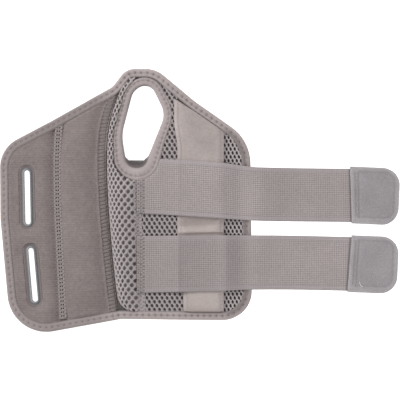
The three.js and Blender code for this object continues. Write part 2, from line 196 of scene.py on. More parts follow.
def arc(centre: Array, radius: float, start: float, turn: float, step: float = 2.0) -> Array:
    """Points along an arc.

    Args:
        centre: its middle.
        radius: its radius.
        start: angle of its first point.
        turn: angle that it turns through, positive to the left.
        step: wanted distance between points.

    Returns:
        An array of x and y.
    """
    count = max(2, math.ceil(abs(turn) * radius / step))
    angles = start + turn * np.linspace(0, 1, count + 1)
    return centre + radius * np.stack([np.cos(angles), np.sin(angles)], axis=1)


def refined(points: Array, step: float = 3.0) -> Array:
    """The closed line with its long straight runs divided."""
    made = []
    for start, end in edges_of(points):
        count = max(1, math.ceil(np.linalg.norm(end - start) / step))
        made.append(start + np.linspace(0, 1, count, endpoint=False)[:, None] * (end - start))
    return np.vstack(made)


def rounded(corners: Sequence[tuple[float, float, float]]) -> Array:
    """A polygon with its corners rounded by arcs.

    Args:
        corners: x, y and radius of each corner, anticlockwise.

    Returns:
        Points round it.
    """
    table = np.array(corners)
    runs = []
    for index, (x, y, radius) in enumerate(table):
        here = np.array([x, y])
        back = table[index - 1, :2] - here
        ahead = table[(index + 1) % len(table), :2] - here
        back /= np.linalg.norm(back)
        ahead /= np.linalg.norm(ahead)
        half = math.acos(np.clip(back @ ahead, -1, 1)) / 2
        middle = (back + ahead) / np.linalg.norm(back + ahead)
        centre = here + middle * radius / math.sin(half)
        start = here + back * radius / math.tan(half) - centre
        side = math.copysign(1, -(back[0] * ahead[1] - back[1] * ahead[0]))
        runs.append(arc(centre, radius, math.atan2(start[1], start[0]), side * (math.pi - 2 * half)))
    return refined(np.vstack(runs))


@dataclass(frozen=True)
class Pattern:
    """The brace's cutting pattern: its outline, thumb hole, seams and slots."""

    corners: Corners = (
        (-151.0, 39.0, 24), (-150.6, -14.0, 90), (-142.2, -104.8, 29.5), (-59.6, -89.8, 5),
        (39.3, -90.7, 22), (37.8, 45.2, 34), (-4.0, 74.3, 60), (-33.4, 99.0, 21), (-55.6, 99.0, 13),
        (-65.9, 85.4, 14), (-112.2, 59.4, 40),
    )
    thumb_corners: Corners = (
        (-38.0, 89.8, 8.5), (-50.8, 82.4, 12), (-59.4, 49.0, 34), (-55.2, 24.6, 8.5), (-42.0, 24.6, 7.5),
        (-25.8, 65.0, 17),
    )
    thumb_lip: Curve = Curve(((24, 9.3), (32, 8.4), (46, 6.6), (60, 5.8), (85, 5.4)))
    panel_seam: Curve = Curve((
        (-110, -102.2), (-75, -103.8), (-30, -106.0), (0, -107.3), (28, -107.6), (70, -105.2),
    ))
    mesh_seam: Curve = Curve((
        (-105, -59.4), (-80, -61.7), (-34, -66.5), (8, -69.5), (30, -70.2), (46, -69.6), (64, -66.6),
        (76, -62.6), (88, -58.0), (105, -51.0),
    ))
    edge_lip: float = 6.0
    anchor_x: float = -45.8
    pocket_left: float = -17.4
    pocket_right: float = 18.4

    def outline(self) -> Loop:
        """The outer edge, anticlockwise, so that its normals point into the cloth."""
        return Loop(rounded(self.corners))

    def thumb_hole(self) -> Loop:
        """The thumb hole's edge, clockwise, so that its normals point into the cloth."""
        return Loop(rounded(self.thumb_corners)[::-1])


# Bench: selecting, copying and applying, as by hand


def activate(piece: Piece) -> None:
    """Make a piece the only selected object, and the active one."""
    bpy.ops.object.select_all(action="DESELECT")
    piece.select_set(True)
    bpy.context.view_layer.objects.active = piece


def modify(piece: Piece, kind: str, **settings: object) -> None:
    """Add a modifier to a piece, set it and apply it.

    Args:
        piece: the object.
        kind: the modifier's type.
        settings: its settings.
    """
    activate(piece)
    bpy.ops.object.modifier_add(type=kind)
    made = piece.modifiers[-1]
    for name, value in settings.items():
        setattr(made, name, value)
    bpy.ops.object.modifier_apply(modifier=made.name)


def edit(piece: Piece, *steps: tuple[str, dict]) -> None:
    """Run mesh operators on all of a piece in edit mode.

    Args:
        piece: the object.
        steps: names of bpy.ops.mesh operators, each with its settings.
    """
    activate(piece)
    bpy.ops.object.mode_set(mode="EDIT")
    bpy.ops.mesh.select_all(action="SELECT")
    for name, settings in steps:
        getattr(bpy.ops.mesh, name)(**settings)
    bpy.ops.object.mode_set(mode="OBJECT")


def places_of(piece: Piece) -> Array:
    """A piece's vertices, in millimetres."""
    flat = np.zeros(len(piece.data.vertices) * 3)
    piece.data.vertices.foreach_get("co", flat)
    return flat.reshape(-1, 3) / MM


def move_to(piece: Piece, places: Array) -> None:
    """Set a piece's vertices from places in millimetres."""
    piece.data.vertices.foreach_set("co", (places * MM).ravel())
    piece.data.update()


def normals_of(piece: Piece) -> Array:
    """A piece's vertex normals."""
    flat = np.zeros(len(piece.data.vertices) * 3)
    piece.data.vertex_normals.foreach_get("vector", flat)
    return flat.reshape(-1, 3)


def placed(name: str, data: bpy.types.ID) -> Piece:
    """Put a new object into the scene."""
    made = bpy.data.objects.new(name, data)
    bpy.context.scene.collection.objects.link(made)
    return made


def solid_copy(node: str, name: str) -> Piece:
    """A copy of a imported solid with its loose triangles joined.

    Args:
        node: the solid's name.
        name: the copy's name.

    Returns:
        The new object.
    """
    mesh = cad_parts[node].data.copy()
    mesh.materials.clear()
    piece = placed(name, mesh)
    edit(piece, ("remove_doubles", {"threshold": 0.01 * MM}))
    return piece


def soft_copy(node: str, name: str, voxel: float, rounds: int) -> Piece:
    """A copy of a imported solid, remeshed evenly and eased as cloth eases its folds.

    Args:
        node: the solid's name.
        name: the copy's name.
        voxel: size of the even faces.
        rounds: how often it is smoothed.

    Returns:
        The new object.
    """
    piece = solid_copy(node, name)
    modify(piece, "REMESH", mode="VOXEL", voxel_size=voxel * MM, adaptivity=0.0)
    modify(piece, "SMOOTH", factor=0.5, iterations=rounds)
    return piece


def made_of(name: str, places: Array, faces: Sequence[Sequence[int]]) -> Piece:
    """A piece from arrays of places, in millimetres, and faces."""
    mesh = bpy.data.meshes.new(name)
    mesh.from_pydata((places * MM).tolist(), [], [list(face) for face in faces])
    mesh.update()
    return placed(name, mesh)


def face_out(piece: Piece) -> None:
    """Turn the faces of a closed piece outwards."""
    edit(piece, ("normals_make_consistent", {"inside": False}))


def primitive(kind: str, **settings: object) -> Piece:
    """Add a mesh primitive at the origin."""
    bpy.ops.object.select_all(action="DESELECT")
    getattr(bpy.ops.mesh, f"primitive_{kind}_add")(location=(0, 0, 0), **settings)
    return bpy.context.active_object


def unit_of(model: Piece) -> tuple[Array, list[tuple[int, ...]]]:
    """Places and faces of a shape that is modelled once, with the model taken away."""
    places = places_of(model) * MM
    faces = [tuple(polygon.vertices) for polygon in model.data.polygons]
    bpy.data.objects.remove(model)
    return places, faces


def copies(name: str, blocks: Array, faces: Sequence[Sequence[int]]) -> Piece:
    """A piece of many copies of one shape.

    Args:
        name: the piece's name.
        blocks: the places of each copy.
        faces: the faces of the shape.

    Returns:
        The new object.
    """
    starts = np.arange(len(blocks)) * blocks.shape[1]
    every = [tuple(start + index for index in face) for start in starts for face in faces]
    return made_of(name, blocks.reshape(-1, 3), every)


def walls_between(here: Array, there: Array) -> list[list[int]]:
    """Faces between closed rows of points and the rows that follow them."""
    corners = (here, np.roll(here, -1, axis=-1), np.roll(there, -1, axis=-1), there)
    return np.stack(corners, axis=-1).reshape(-1, 4).tolist()


def swept(name: str, columns: Sequence[Array]) -> Piece:
    """A closed ring with a closed section.

    Args:
        name: the piece's name.
        columns: for each point of the section, its places round the ring.

    Returns:
        The new object, with its faces turned out.
    """
    grid = np.stack(columns, axis=1)
    here = np.arange(grid[..., 0].size).reshape(grid.shape[:2])
    faces = walls_between(here, np.roll(here, -1, axis=0))
    piece = made_of(name, grid.reshape(-1, 3), faces)
    face_out(piece)
    return piece


def mark(piece: Piece, name: str, values: Array) -> None:
    """Keep a value for each point of a piece, for its material to read."""
    piece.data.attributes.new(name, "FLOAT", "POINT").data.foreach_set("value", np.asarray(values, float))


def join(pieces: Sequence[Piece]) -> Piece:
    """Join pieces into the first of them."""
    activate(pieces[0])
    for piece in pieces[1:]:
        piece.select_set(True)
    bpy.ops.object.join()
    return pieces[0]


def dent(piece: Piece, points: Array, radius: float, depth: float) -> Array:
    """Press the upper faces of a piece in at points, as a needle's thread pulls cloth in.

    Args:
        piece: the object.
        points: places, as x, y and z.
        radius: how far a dent reaches.
        depth: how deep it is.

    Returns:
        How far into a dent each point of the piece lies, from 0 to 1.
    """
    places = places_of(piece)
    facing = normals_of(piece)[:, 2] > 0.3
    share = np.zeros(len(places))
    for point in points:
        gap = places - point
        near = facing & (np.abs(gap) < [DENT_REACH * radius, DENT_REACH * radius, DENT_HEIGHT]).all(axis=1)
        share[near] = np.maximum(share[near], np.exp(-(gap[near, 0] ** 2 + gap[near, 1] ** 2) / radius ** 2))
    places[:, 2] -= depth * share
    move_to(piece, places)
    return share


class Surface:
    """Heights of a finished piece, seen from above."""

    def __init__(self, piece: Piece) -> None:
        """Build a search tree for the piece."""
        self.tree = BVHTree.FromObject(piece, bpy.context.evaluated_depsgraph_get())

    def height(self, places: Array) -> Array:
        """Height of the top of the piece at places on the table.

        Args:
            places: an array of x and y.

        Returns:
            The heights, not a number where nothing is there.
        """
        found = np.full(len(places), np.nan)
        for index, (x, y) in enumerate(places * MM):
            hit = self.tree.ray_cast((x, y, RAY_START), (0, 0, -1))[0]
            if hit is not None:
                found[index] = hit[2] / MM
        return found

    def stand(self, places: Array, rise: float = 0.0) -> Array:
        """Places on the surface, raised by a distance; those off it are left out."""
        height = self.height(places)
        kept = ~np.isnan(height)
        return joined(places[kept], height[kept] + rise)


# Paint: shader sums and finishes


class Flow:
    """A shader value that takes part in Python sums."""

    def __init__(self, paint: "Paint", socket: Socket) -> None:
        """Wrap a socket of a paint's node tree."""
        self.paint = paint
        self.socket = socket

    def __add__(self, other: "Term") -> "Flow":
        """Sum."""
        return self.paint.math("ADD", self, other)

    def __sub__(self, other: "Term") -> "Flow":
        """Difference."""
        return self.paint.math("SUBTRACT", self, other)

    def __rsub__(self, other: "Term") -> "Flow":
        """Difference from a number."""
        return self.paint.math("SUBTRACT", other, self)

    def __mul__(self, other: "Term") -> "Flow":
        """Product."""
        return self.paint.math("MULTIPLY", self, other)

    __radd__ = __add__
    __rmul__ = __mul__

    def sine(self) -> "Flow":
        """Sine."""
        return self.paint.math("SINE", self)


Term = Union[Flow, float]


class Axis(Enum):
    """Which direction on the cloth a rib follows."""

    X = "X"
    Y = "Y"


class Paint:
    """A material and its node tree."""

    def __init__(self, name: str) -> None:
        """Start a material with a plain surface."""
        self.material = bpy.data.materials.new(name)
        self.material.use_nodes = True
        self.tree = self.material.node_tree
        self.shader = next(n for n in self.tree.nodes if n.type == "BSDF_PRINCIPLED")
        coordinates = self.node("ShaderNodeTexCoord").outputs
        self.place = coordinates["Object"]
        self.cloth = coordinates["UV"]

    def feed(self, socket: Socket, value: object) -> None:
        """Link a flow or socket to a socket, or set the socket's own value."""
        if isinstance(value, Flow):
            value = value.socket
        if isinstance(value, Socket):
            self.tree.links.new(value, socket)
        else:
            socket.default_value = value

    def node(self, kind: str, settings: Optional[dict] = None,
             inputs: Optional[dict] = None) -> bpy.types.Node:
        """Add a node.

        Args:
            kind: its type.
            settings: its properties, set first.
            inputs: values or links of its sockets, by name or place.

        Returns:
            The node.
        """
        made = self.tree.nodes.new(kind)
        for name, value in (settings or {}).items():
            setattr(made, name, value)
        for key, value in (inputs or {}).items():
            self.feed(made.inputs[key], value)
        return made

    def math(self, operation: str, left: Term, right: Term = 0.0) -> Flow:
        """Add a Math node and give its value."""
        made = self.node("ShaderNodeMath", {"operation": operation}, {0: left, 1: right})
        return Flow(self, made.outputs[0])

    def mix(self, share: Term, first: object, second: object) -> Socket:
        """Mix two colours by a share of the second."""
        made = self.node("ShaderNodeMix", {"data_type": "RGBA"}, {0: share, 6: first, 7: second})
        return made.outputs[2]

    def part(self, axis: Axis, vector: Optional[Socket] = None) -> Flow:
        """One object coordinate, or one of another vector."""
        made = self.node("ShaderNodeSeparateXYZ", None, {0: vector or self.place})
        return Flow(self, made.outputs[axis.value])

    def noise(self, scale: float, detail: float, vector: Optional[Socket] = None) -> Flow:
        """Cloudy noise from 0 to 1, with its scale per metre."""
        inputs = {"Vector": vector or self.place, "Scale": scale, "Detail": detail}
        return Flow(self, self.node("ShaderNodeTexNoise", None, inputs).outputs[0])

    def spots(self, scale: float) -> Flow:
        """Distance to scattered points, with its scale per metre."""
        made = self.node("ShaderNodeTexVoronoi", None, {"Vector": self.place, "Scale": scale})
        return Flow(self, made.outputs["Distance"])

    def mask(self, name: str) -> Flow:
        """A value stored on the mesh's points."""
        made = self.node("ShaderNodeAttribute", {"attribute_name": name})
        return Flow(self, made.outputs["Fac"])

    def ribs(self, along: Flow, pitch: float) -> Flow:
        """Round ridges from 0 to 1 at a pitch in millimetres."""
        return (along * (2 * math.pi / (pitch * MM))).sine() * 0.5 + 0.5

    def dress(self, colour: object, rough: object, height: Optional[Flow], depth: float,
              **fixed: object) -> None:
        """Feed the surface.

        Args:
            colour: base colour, or what mixes it.
            rough: roughness, or what varies it.
            height: relief from 0 to 1, if any.
            depth: depth of that relief, in millimetres.
            fixed: the surface's other values, the same all over.
        """
        self.feed(self.shader.inputs["Base Color"], colour)
        self.feed(self.shader.inputs["Roughness"], rough)
        if height is not None:
            relief = {"Height": height, "Distance": depth * MM, "Strength": 1.0}
            bump = self.node("ShaderNodeBump", None, relief)
            self.feed(self.shader.inputs["Normal"], bump.outputs["Normal"])
        for name, value in fixed.items():
            words = [word if word.isupper() else word.title() for word in name.split("_")]
            self.shader.inputs[" ".join(words)].default_value = value


class Finish:
    """A named finish, which lays its own surface."""

    name: str

    def material(self) -> Material:
        """Make the material."""
        paint = Paint(self.name)
        self.lay(paint)
        return paint.material

    def lay(self, paint: Paint) -> None:
        """Lay the surface."""
        raise NotImplementedError


@dataclass(frozen=True)
class KnitFinish(Finish):
    """Brushed knit of the smooth padded panels, with faint ribs across."""

    name: str = "brushed_knit"
    dark: Colour = linear(98, 88, 87)
    light: Colour = linear(160, 148, 146)
    shade: Colour = linear(72, 65, 64)
    rib_pitch: float = 1.8

    def lay(self, paint: Paint) -> None:
        """Lay heathered cloth with its ribs, with painted shade in its needle dents, its valley by the mesh
        and its slopes down to the seams.
        """
        waver = paint.noise(140, 2) * (0.6 * MM)
        ribs = paint.ribs(paint.part(Axis.Y) + waver, self.rib_pitch)
        fuzz = paint.noise(1500, 4)
        heather = paint.noise(420, 3)
        clouds = paint.noise(45, 3)
        tone = clouds * 0.4 + heather * 0.5 + fuzz * 0.45 + ribs * 0.08 - 0.215
        cloth = paint.mix(tone, self.dark, self.light)
        # Painted shade where the panel is marked shade.
        paint.dress(paint.mix(paint.mask("shade"), cloth, self.shade), fuzz * 0.15 + 0.8,
                    fuzz * 0.7 + ribs * 0.3, 0.32, sheen_weight=0.15, sheen_roughness=0.5)


@dataclass(frozen=True)
class NetFinish(Finish):
    """Pale knotted threads over dark pits: the dark inner layer with painted shade down the holes, and
    painted light on marked threads.
    """

    name: str = "spacer_net"
    thread: Colour = linear(192, 182, 182)
    shade: Colour = linear(152, 143, 143)
    pale: Colour = linear(222, 212, 212)
    pit: Colour = linear(58, 53, 54)

    def lay(self, paint: Paint) -> None:
        """Lay strands of thread with painted light where marked pale, and the pits between them with painted
        shade.
        """
        strands = paint.noise(3200, 3)
        thread = paint.mix(strands, self.shade, self.thread)
        lit = paint.mix(paint.mask("pale"), thread, self.pale)
        paint.dress(paint.mix(paint.mask("pit"), lit, self.pit), strands * 0.1 + 0.78, strands, 0.14,
                    sheen_weight=0.15)


@dataclass(frozen=True)
class LiningFinish(Finish):
    """Close plain knit of the mesh's inner layers and underside."""

    name: str = "mesh_lining"
    dark: Colour = linear(78, 72, 73)
    light: Colour = linear(104, 97, 97)

    def lay(self, paint: Paint) -> None:
        """Lay the grain of the knit."""
        grain = paint.noise(1900, 4)
        paint.dress(paint.mix(grain, self.dark, self.light), 0.9, grain, 0.2, sheen_weight=0.1)


@dataclass(frozen=True)
class SatinFinish(Finish):
    """Fine close weave with a soft sheen."""

    name: str = "pocket_satin"
    dark: Colour = linear(142, 130, 127)
    light: Colour = linear(198, 187, 183)
    shade: Colour = linear(106, 90, 84)
    pale: Colour = linear(206, 192, 185)
    weft_pitch: float = 0.42

    def lay(self, paint: Paint) -> None:
        """Lay fine wefts with slubs, with painted light on the fold and paler towards the elbow end, and
        painted shade above the fold, along the lower strap's edge and towards the bottom.
        """
        waver = paint.noise(500, 2) * (0.3 * MM)
        weft = paint.ribs(paint.part(Axis.Y) + waver, self.weft_pitch)
        clouds = paint.noise(48, 3)
        slubs = paint.noise(900, 3)
        cloth = paint.mix(clouds * 0.8 + slubs * 0.6 - 0.2, self.dark, self.light)
        # Painted light where marked pale; painted shade, and the hems' stitch lines, where marked shade.
        lit = paint.mix(paint.mask("pale"), cloth, self.pale)
        paint.dress(paint.mix(paint.mask("shade"), lit, self.shade), slubs * 0.12 + 0.48,
                    weft * 0.5 + slubs * 0.5, 0.05, sheen_weight=0.35, sheen_roughness=0.35)


@dataclass(frozen=True)
class TapeFinish(Finish):
    """Stretch tape with a fine even grain."""

    name: str = "binding_tape"
    dark: Colour = linear(142, 131, 130)
    light: Colour = linear(200, 188, 187)
    shade: Colour = linear(60, 53, 53)

    def lay(self, paint: Paint) -> None:
        """Lay the grain, with painted shade at the stitches and lips, down the thumb hole's inner wall and
        inside the flank.
        """
        grain = paint.noise(1700, 4)
        cells = paint.spots(1500)
        clouds = paint.noise(60, 2)
        cloth = paint.mix(clouds * 0.45 + grain * 0.55, self.dark, self.light)
        # Painted shade where the tape is marked shade.
        paint.dress(paint.mix(paint.mask("shade"), cloth, self.shade), grain * 0.12 + 0.74,
                    grain * 0.5 + cells * 0.5, 0.14, sheen_weight=0.2, sheen_roughness=0.5)


@dataclass(frozen=True)
class WebbingFinish(Finish):
    """Elastic webbing: ribs along and picks across, over and under."""

    name: str = "strap_webbing"
    gap: Colour = linear(114, 105, 105)
    yarn: Colour = linear(199, 188, 188)
    plain: Colour = linear(176, 168, 169)
    shade: Colour = linear(84, 76, 76)
    rib_pitch: float = 1.5
    pick_pitch: float = 1.7

    def lay(self, paint: Paint) -> None:
        """Lay ribs and picks along the strap's own map, fading in patches, with a plainer selvedge and
        painted shade where marked.
        """
        waver = paint.noise(260, 2, paint.cloth) * (0.9 * MM)
        ribs = paint.ribs(paint.part(Axis.Y, paint.cloth) + waver, self.rib_pitch)
        picks = paint.ribs(paint.part(Axis.X, paint.cloth) + waver, self.pick_pitch)
        fibre = paint.noise(750, 3)
        clouds = paint.noise(40, 2)
        patches = paint.noise(75, 2)
        weave = ribs * 0.6 + picks * 0.4
        tone = (weave - 0.5) * (patches * 0.85 + 0.15) + fibre * 0.42 + clouds * 0.2 + 0.19
        woven = paint.mix(tone, self.gap, self.yarn)
        cloth = paint.mix(paint.mask("selvedge") * 0.45, woven, self.plain)
        # Painted shade where the strap is marked shade.
        paint.dress(paint.mix(paint.mask("shade"), cloth, self.shade), fibre * 0.1 + 0.8,
                    weave * 0.6 + fibre * 0.4, 0.12, sheen_weight=0.2, sheen_roughness=0.5)


@dataclass(frozen=True)
class HookFinish(Finish):
    """Hook tape: a cool grey ground with a fine grain."""

    name: str = "hook_tape"
    dark: Colour = linear(127, 122, 125)
    light: Colour = linear(182, 177, 180)
    shade: Colour = linear(88, 83, 86)

    def lay(self, paint: Paint) -> None:
        """Lay the grain, with painted light along the border and painted shade in the stitch lines."""
        cells = paint.spots(1300)
        clouds = paint.noise(55, 3)
        tone = clouds * 0.6 + cells * 0.5
        # Painted light on the rounded border outside the stitching, painted shade in the pressed stitch
        # lines.
        tape = paint.mix(tone + paint.mask("pale") * 0.22, self.dark, self.light)
        paint.dress(paint.mix(paint.mask("shade"), tape, self.shade), cells * 0.2 + 0.55, cells, 0.16)


@dataclass(frozen=True)
class RingFinish(Finish):
    """Smooth moulded grey plastic with faint scuffs, with a painted highlight along the bead."""

    name: str = "slot_ring"
    dark: Colour = linear(96, 95, 97)
    light: Colour = linear(116, 115, 118)
    highlight_grey: Colour = linear(168, 169, 172)
    cloth: Colour = linear(124, 114, 113)

    def lay(self, paint: Paint) -> None:
        """Lay scuffed plastic, with its outer flange painted as the cloth that it is bedded in, darkened as
        painted shade.
        """
        scuffs = paint.noise(700, 5)
        clouds = paint.noise(90, 2)
        moulded = paint.mix(clouds, self.dark, self.light)
        # Painted shade: the flange's outer part takes a darkened knit colour, the shaded cloth round the
        # ring.
        bedded = paint.mix(paint.mask("cloth"), moulded, self.cloth)
        # Painted highlight: the bead is mixed towards pale grey, most on the opening's left side.
        with_highlight = paint.mix(paint.mask("bead") * 0.8, bedded, self.highlight_grey)
        paint.dress(with_highlight, scuffs * 0.25 + 0.5, scuffs, 0.02, specular_IOR_level=0.45)


@dataclass(frozen=True)
class ThreadFinish(Finish):
    """Sewing thread with a fine twist."""

    name: str
    dark: Colour
    light: Colour

    def lay(self, paint: Paint) -> None:
        """Lay the twist and fibres."""
        twist = paint.ribs(paint.part(Axis.X) + paint.part(Axis.Y), 0.55)
        fibre = paint.noise(3000, 2)
        tone = twist * 0.5 + fibre * 0.5
        paint.dress(paint.mix(tone, self.dark, self.light), 0.7, tone, 0.06, sheen_weight=0.2)


@dataclass(frozen=True)
class TableFinish(Finish):
    """White light-table top with the faintest grain."""

    name: str = "table_top"
    glow: float = 0.75

    def lay(self, paint: Paint) -> None:
        """Lay a glowing white."""
        grain = paint.noise(60, 2)
        white = linear(250, 250, 250)
        paint.dress(paint.mix(grain, white, linear(252, 252, 252)), 0.9, None, 0.0,
                    emission_color=white, emission_strength=self.glow)


# Pieces


class Held(Enum):
    """How a sheet of cloth is held."""

    LAID = "laid"
    FOLDED = "folded"


def finish_piece(piece: Piece, material: Material, nodes: Iterable[str] = ()) -> None:
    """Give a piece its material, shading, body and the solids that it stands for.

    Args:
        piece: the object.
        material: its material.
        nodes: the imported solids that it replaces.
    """
    piece.data.materials.clear()
    piece.data.materials.append(material)
    piece.data.polygons.foreach_set("use_smooth", np.ones(len(piece.data.polygons), bool))
    piece.data.update()
    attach(piece, BODY)
    if nodes:
        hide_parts(*nodes)
    LOG.info("%s: %d faces", piece.name, len(piece.data.polygons))


@dataclass
class Threads:
    """Rows of stitches, gathered and then made as one joined mesh."""

    name: str
    finish: ThreadFinish
    rows: list[tuple[Array, Array, Array]] = field(default_factory=list)

    def lay(self, places: Array, runs: Array, length: float, wide: float, tall: float = 0.0) -> None:
        """Add a row of stitches.

        Args:
            places: their middles, as x, y and z.
            runs: their directions, or the one direction of all, as x and y.
            length: length of each.
            wide: width of each.
            tall: height of each, the width if not given.
        """
        runs = joined(np.broadcast_to(runs, (len(places), 2)), np.zeros(len(places)))
        size = np.array([length, wide, tall or wide])
        self.rows.append((places, runs / np.linalg.norm(runs, axis=1)[:, None], size))

    @staticmethod
    def _stitch() -> tuple[Array, list[tuple[int, ...]]]:
        """One stitch of unit length along X, modelled once: a round with flattened, drawn-in ends."""
        model = primitive("uv_sphere", segments=6, ring_count=6, radius=0.5)
        edit(model, ("remove_doubles", {"threshold": 1e-5}))
        places, faces = unit_of(model)
        turned = joined(places[:, 2], places[:, 0], places[:, 1])
        turned[:, 0] = np.sign(turned[:, 0]) * 0.5 * (np.abs(turned[:, 0]) * 2) ** 0.7
        return turned, faces

    def build(self) -> Piece:
        """Make the joined mesh of all the rows."""
        unit, faces = self._stitch()
        blocks = []
        for places, runs, size in self.rows:
            side = np.cross(np.array([0.0, 0.0, 1.0]), runs)
            side /= np.maximum(np.linalg.norm(side, axis=1), 1e-9)[:, None]
            rise = np.cross(runs, side)
            local = unit * size
            block = (places[:, None] + local[None, :, :1] * runs[:, None]
                     + local[None, :, 1:2] * side[:, None] + local[None, :, 2:] * rise[:, None])
            blocks.append(block)
        return copies(self.name, np.concatenate(blocks), faces)

    def dress(self) -> None:
        """Make the stitches and finish them."""
        finish_piece(self.build(), self.finish.material())


@dataclass
class PaddedPanel:
    """A padded cloth piece swelled by a cloth simulation between its sewn edges."""

    node: str
    slot: str
    voxel: float = 0.9
    rounds: int = 8
    pressure: float = 4.0
    mass: float = 0.0006
    frames: int = 20
    cap: float = 0.5
    fill: float = 0.6
    stiffness: float = 8.0
    bending: float = 0.3
    grip_levels: int = 10
    piece: Optional[Piece] = None

    def build(self, held: Field, form: Callable[[Piece], None]) -> None:
        """Remesh the solid, ease it, give it its form and swell its upper face.

        Args:
            held: gives how firmly each place on the table is sewn down, from 0 to 1.
            form: shapes the eased piece.
        """
        self.piece = soft_copy(self.node, f"{self.node}_cloth", self.voxel, self.rounds)
        form(self.piece)
        self._swell(held)

    def _swell(self, held: Field) -> None:
        """Run the cloth and keep its upward swelling within the cap."""
        start = places_of(self.piece)
        facing = normals_of(self.piece)[:, 2]
        grip = np.maximum(held(start[:, :2]), 1 - ease(0.1, 0.6, facing))
        group = self.piece.vertex_groups.new(name="sewn")
        for level in range(self.grip_levels + 1):
            members = np.flatnonzero(np.round(grip * self.grip_levels) == level).tolist()
            group.add(members, level / self.grip_levels, "REPLACE")
        activate(self.piece)
        bpy.ops.object.modifier_add(type="CLOTH")
        cloth = self.piece.modifiers[-1]
        settings = {
            "vertex_group_mass": "sewn", "mass": self.mass,
            "use_pressure": True, "uniform_pressure_force": self.pressure,
            "tension_stiffness": self.stiffness, "compression_stiffness": self.stiffness,
            "bending_stiffness": self.bending,
        }
        for name, value in settings.items():
            setattr(cloth.settings, name, value)
        cloth.settings.effector_weights.gravity = 0
        cloth.point_cache.frame_start = 1
        cloth.point_cache.frame_end = self.frames
        scene = bpy.context.scene
        for step in range(1, self.frames + 1):
            scene.frame_set(step)
        bpy.ops.object.modifier_apply(modifier=cloth.name)
        scene.frame_set(1)
        self.piece.vertex_groups.clear()
        moved = np.nan_to_num(places_of(self.piece) - start)
        far = np.linalg.norm(moved, axis=1)
        LOG.info("%s swelled by up to %.2f mm", self.node, far.max())
        moved *= np.minimum(1, self.cap / np.maximum(far, 1e-9))[:, None]
        moved *= ease(0.0, 0.5, facing)[:, None]
        move_to(self.piece, start + moved)

    def dress(self, material: Material) -> None:
        """Finish the panel."""
        finish_piece(self.piece, material, [self.node])


@dataclass(frozen=True)
class Slot:
    """A strap slot: its middle and its turn in degrees."""

    x: float
    y: float
    turn: float
    inside: float = 42.0
    gap: float = 5.2
    rim: float = 2.8
    lining: float = 0.6
    # Section rows: distance out from the opening, height, share of the bead's painted highlight, and share
    # painted as shaded cloth.
    section: tuple[tuple[float, float, float, float], ...] = (
        (0.0, 0.4, 0.1, 0.0), (0.0, 2.2, 0.3, 0.0), (0.15, 2.6, 0.6, 0.0), (0.5, 2.9, 1.0, 0.0),
        (0.95, 2.95, 0.9, 0.0), (1.35, 2.7, 0.5, 0.0), (1.6, 2.35, 0.1, 0.0), (2.2, 2.2, 0.0, 0.35),
        (3.0, 2.6, 0.0, 1.0), (3.9, 3.15, 0.0, 1.0), (4.0, 0.4, 0.0, 1.0),
    )

    def reach(self) -> float:
        """Half the length of the slot's straight sides."""
        return (self.inside - self.gap) / 2

    def ring(self, name: str) -> Piece:
        """The moulded ring round the slot, a flat flange with a raised bead along the opening."""
        half = self.gap / 2 - self.lining
        top = arc(np.array([0.0, self.reach()]), half, 0, math.pi, 0.25)
        edge = Loop(refined(np.vstack([top, -top]), 0.8))
        columns = []
        for out, z, _, _ in self.section:
            spot = edge.offset(-out).points @ turning(self.turn) + [self.x, self.y]
            columns.append(joined(spot, np.full(len(spot), z)))
        piece = swept(name, columns)
        # Painted highlight on the bead, full on the opening's left side and about a third on its right.
        side = 0.35 + 0.65 * ease(half, -half, edge.points[:, 0])
        mark(piece, "bead", np.outer(side, [row[2] for row in self.section]).ravel())
        mark(piece, "cloth", np.tile([row[3] for row in self.section], len(side)))
        return piece

    def clear_of(self, places: Array) -> Array:
        """Distance of places from the outside of the slot's ring."""
        across, along = turning(self.turn)
        offset = places - np.array([self.x, self.y])
        beyond = np.maximum(np.abs(offset @ along) - self.reach(), 0)
        return np.hypot(offset @ across, beyond) - self.gap / 2 - self.rim


